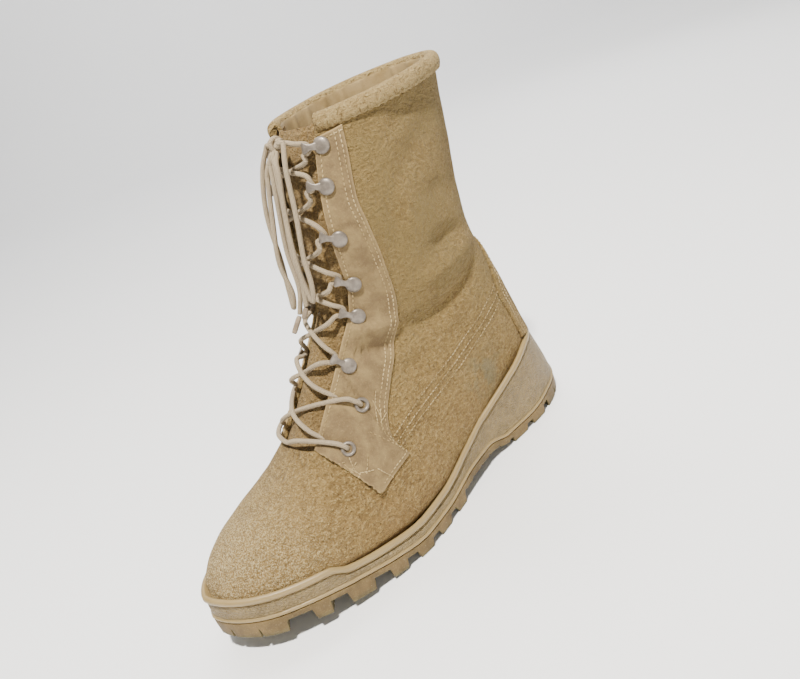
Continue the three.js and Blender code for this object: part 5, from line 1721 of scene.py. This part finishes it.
class BootColours(bpy.types.PropertyGroup):
    """Main colours that can be changed without touching the materials."""

    suede: colour_property("Suede", "Main tone of the roughout leather", "917747")
    facing: colour_property("Facing", "Lighter tone of the smooth leather beside the throat", "84704b")
    midsole: colour_property("Midsole", "Lighter tone of the moulded cup", "826e46")
    rubber: colour_property("Rubber", "Lighter tone of the outsole's sides", "745e38")
    lace: colour_property("Lace", "Light strands of the lace", "bba98a")
    metal: colour_property("Metal", "Lighter tone of the eyelets and hooks", "81776b")
    thread: colour_property("Thread", "Lighter tone of the stitches", "b8a276")


class StageOperator(bpy.types.Operator):
    """Adds the floor, the lights and the camera"""

    bl_idname = "boot.stage"
    bl_label = "Stage"

    def execute(self, context):
        build_camera()
        build_stage()
        return {"FINISHED"}


class BowOperator(bpy.types.Operator):
    """Adds the bow: its knot, loops, ends and tips"""

    bl_idname = "boot.bow"
    bl_label = "Bow"

    def execute(self, context):
        build_bow()
        build_knot()
        return {"FINISHED"}


class LaceOperator(bpy.types.Operator):
    """Adds the lace through the eyelets and under the hooks"""

    bl_idname = "boot.lace"
    bl_label = "Lace"

    def execute(self, context):
        build_lace()
        return {"FINISHED"}


class SoleOperator(bpy.types.Operator):
    """Adds the outsole, the midsole and the footbed"""

    bl_idname = "boot.sole"
    bl_label = "Sole"

    def execute(self, context):
        build_outsole()
        build_cup()
        build_insole()
        return {"FINISHED"}


class LeatherOperator(bpy.types.Operator):
    """Adds the upper, the tongue, the facings, the backstay and the collar"""

    bl_idname = "boot.leather"
    bl_label = "Leather"

    def execute(self, context):
        build_upper()
        build_tongue()
        build_facing(1, "facing_leather_outer")
        build_facing(-1, "facing_leather_inner")
        build_backstay()
        build_collar()
        return {"FINISHED"}


class HardwareOperator(bpy.types.Operator):
    """Adds the eyelets, the vents and the hooks"""

    bl_idname = "boot.hardware"
    bl_label = "Hardware"

    def execute(self, context):
        for number, seat in enumerate(EYELET_SEATS, 1):
            build_eyelet(number, seat, "eyelet")
        for number, seat in enumerate(VENT_SEATS, 1):
            build_eyelet(number, seat, "vent")
        for number, seat in enumerate(HOOK_SEATS, 1):
            build_hook(number, seat)
        return {"FINISHED"}


class StitchOperator(bpy.types.Operator):
    """Adds the rows of stitches"""

    bl_idname = "boot.stitches"
    bl_label = "Stitches"

    def execute(self, context):
        build_seams()
        return {"FINISHED"}


OPERATORS = (
    StageOperator, BowOperator, LaceOperator, LeatherOperator, SoleOperator, HardwareOperator, StitchOperator,
)


class BootPanel(bpy.types.Panel):
    """Lists the steps that build the boot, its sizes and its colours"""

    bl_idname = "VIEW3D_PT_boot"
    bl_label = "Combat boot"
    bl_space_type = "VIEW_3D"
    bl_region_type = "UI"
    bl_category = "Boot"

    def draw(self, context):
        for operator in OPERATORS:
            self.layout.operator(operator.bl_idname)
        for name, group in GROUPS.items():
            for each in group.__annotations__:
                self.layout.prop(getattr(context.scene, name), each)


GROUPS = {"boot_sizes": BootSizes, "boot_colours": BootColours}
CLASSES = (*GROUPS.values(), *OPERATORS, BootPanel)


def register():
    for each in CLASSES:
        bpy.utils.register_class(each)
    for name, group in GROUPS.items():
        setattr(bpy.types.Scene, name, bpy.props.PointerProperty(type=group))


def unregister():
    for name in GROUPS:
        delattr(bpy.types.Scene, name)
    for each in reversed(CLASSES):
        bpy.utils.unregister_class(each)


def main():
    register()
    for operator in OPERATORS:
        group, name = operator.bl_idname.split(".")
        if getattr(getattr(bpy.ops, group), name)() != {"FINISHED"}:
            raise RuntimeError(operator.bl_label + " did not finish")
    bpy.context.view_layer.update()


if __name__ == "__main__":
    main()
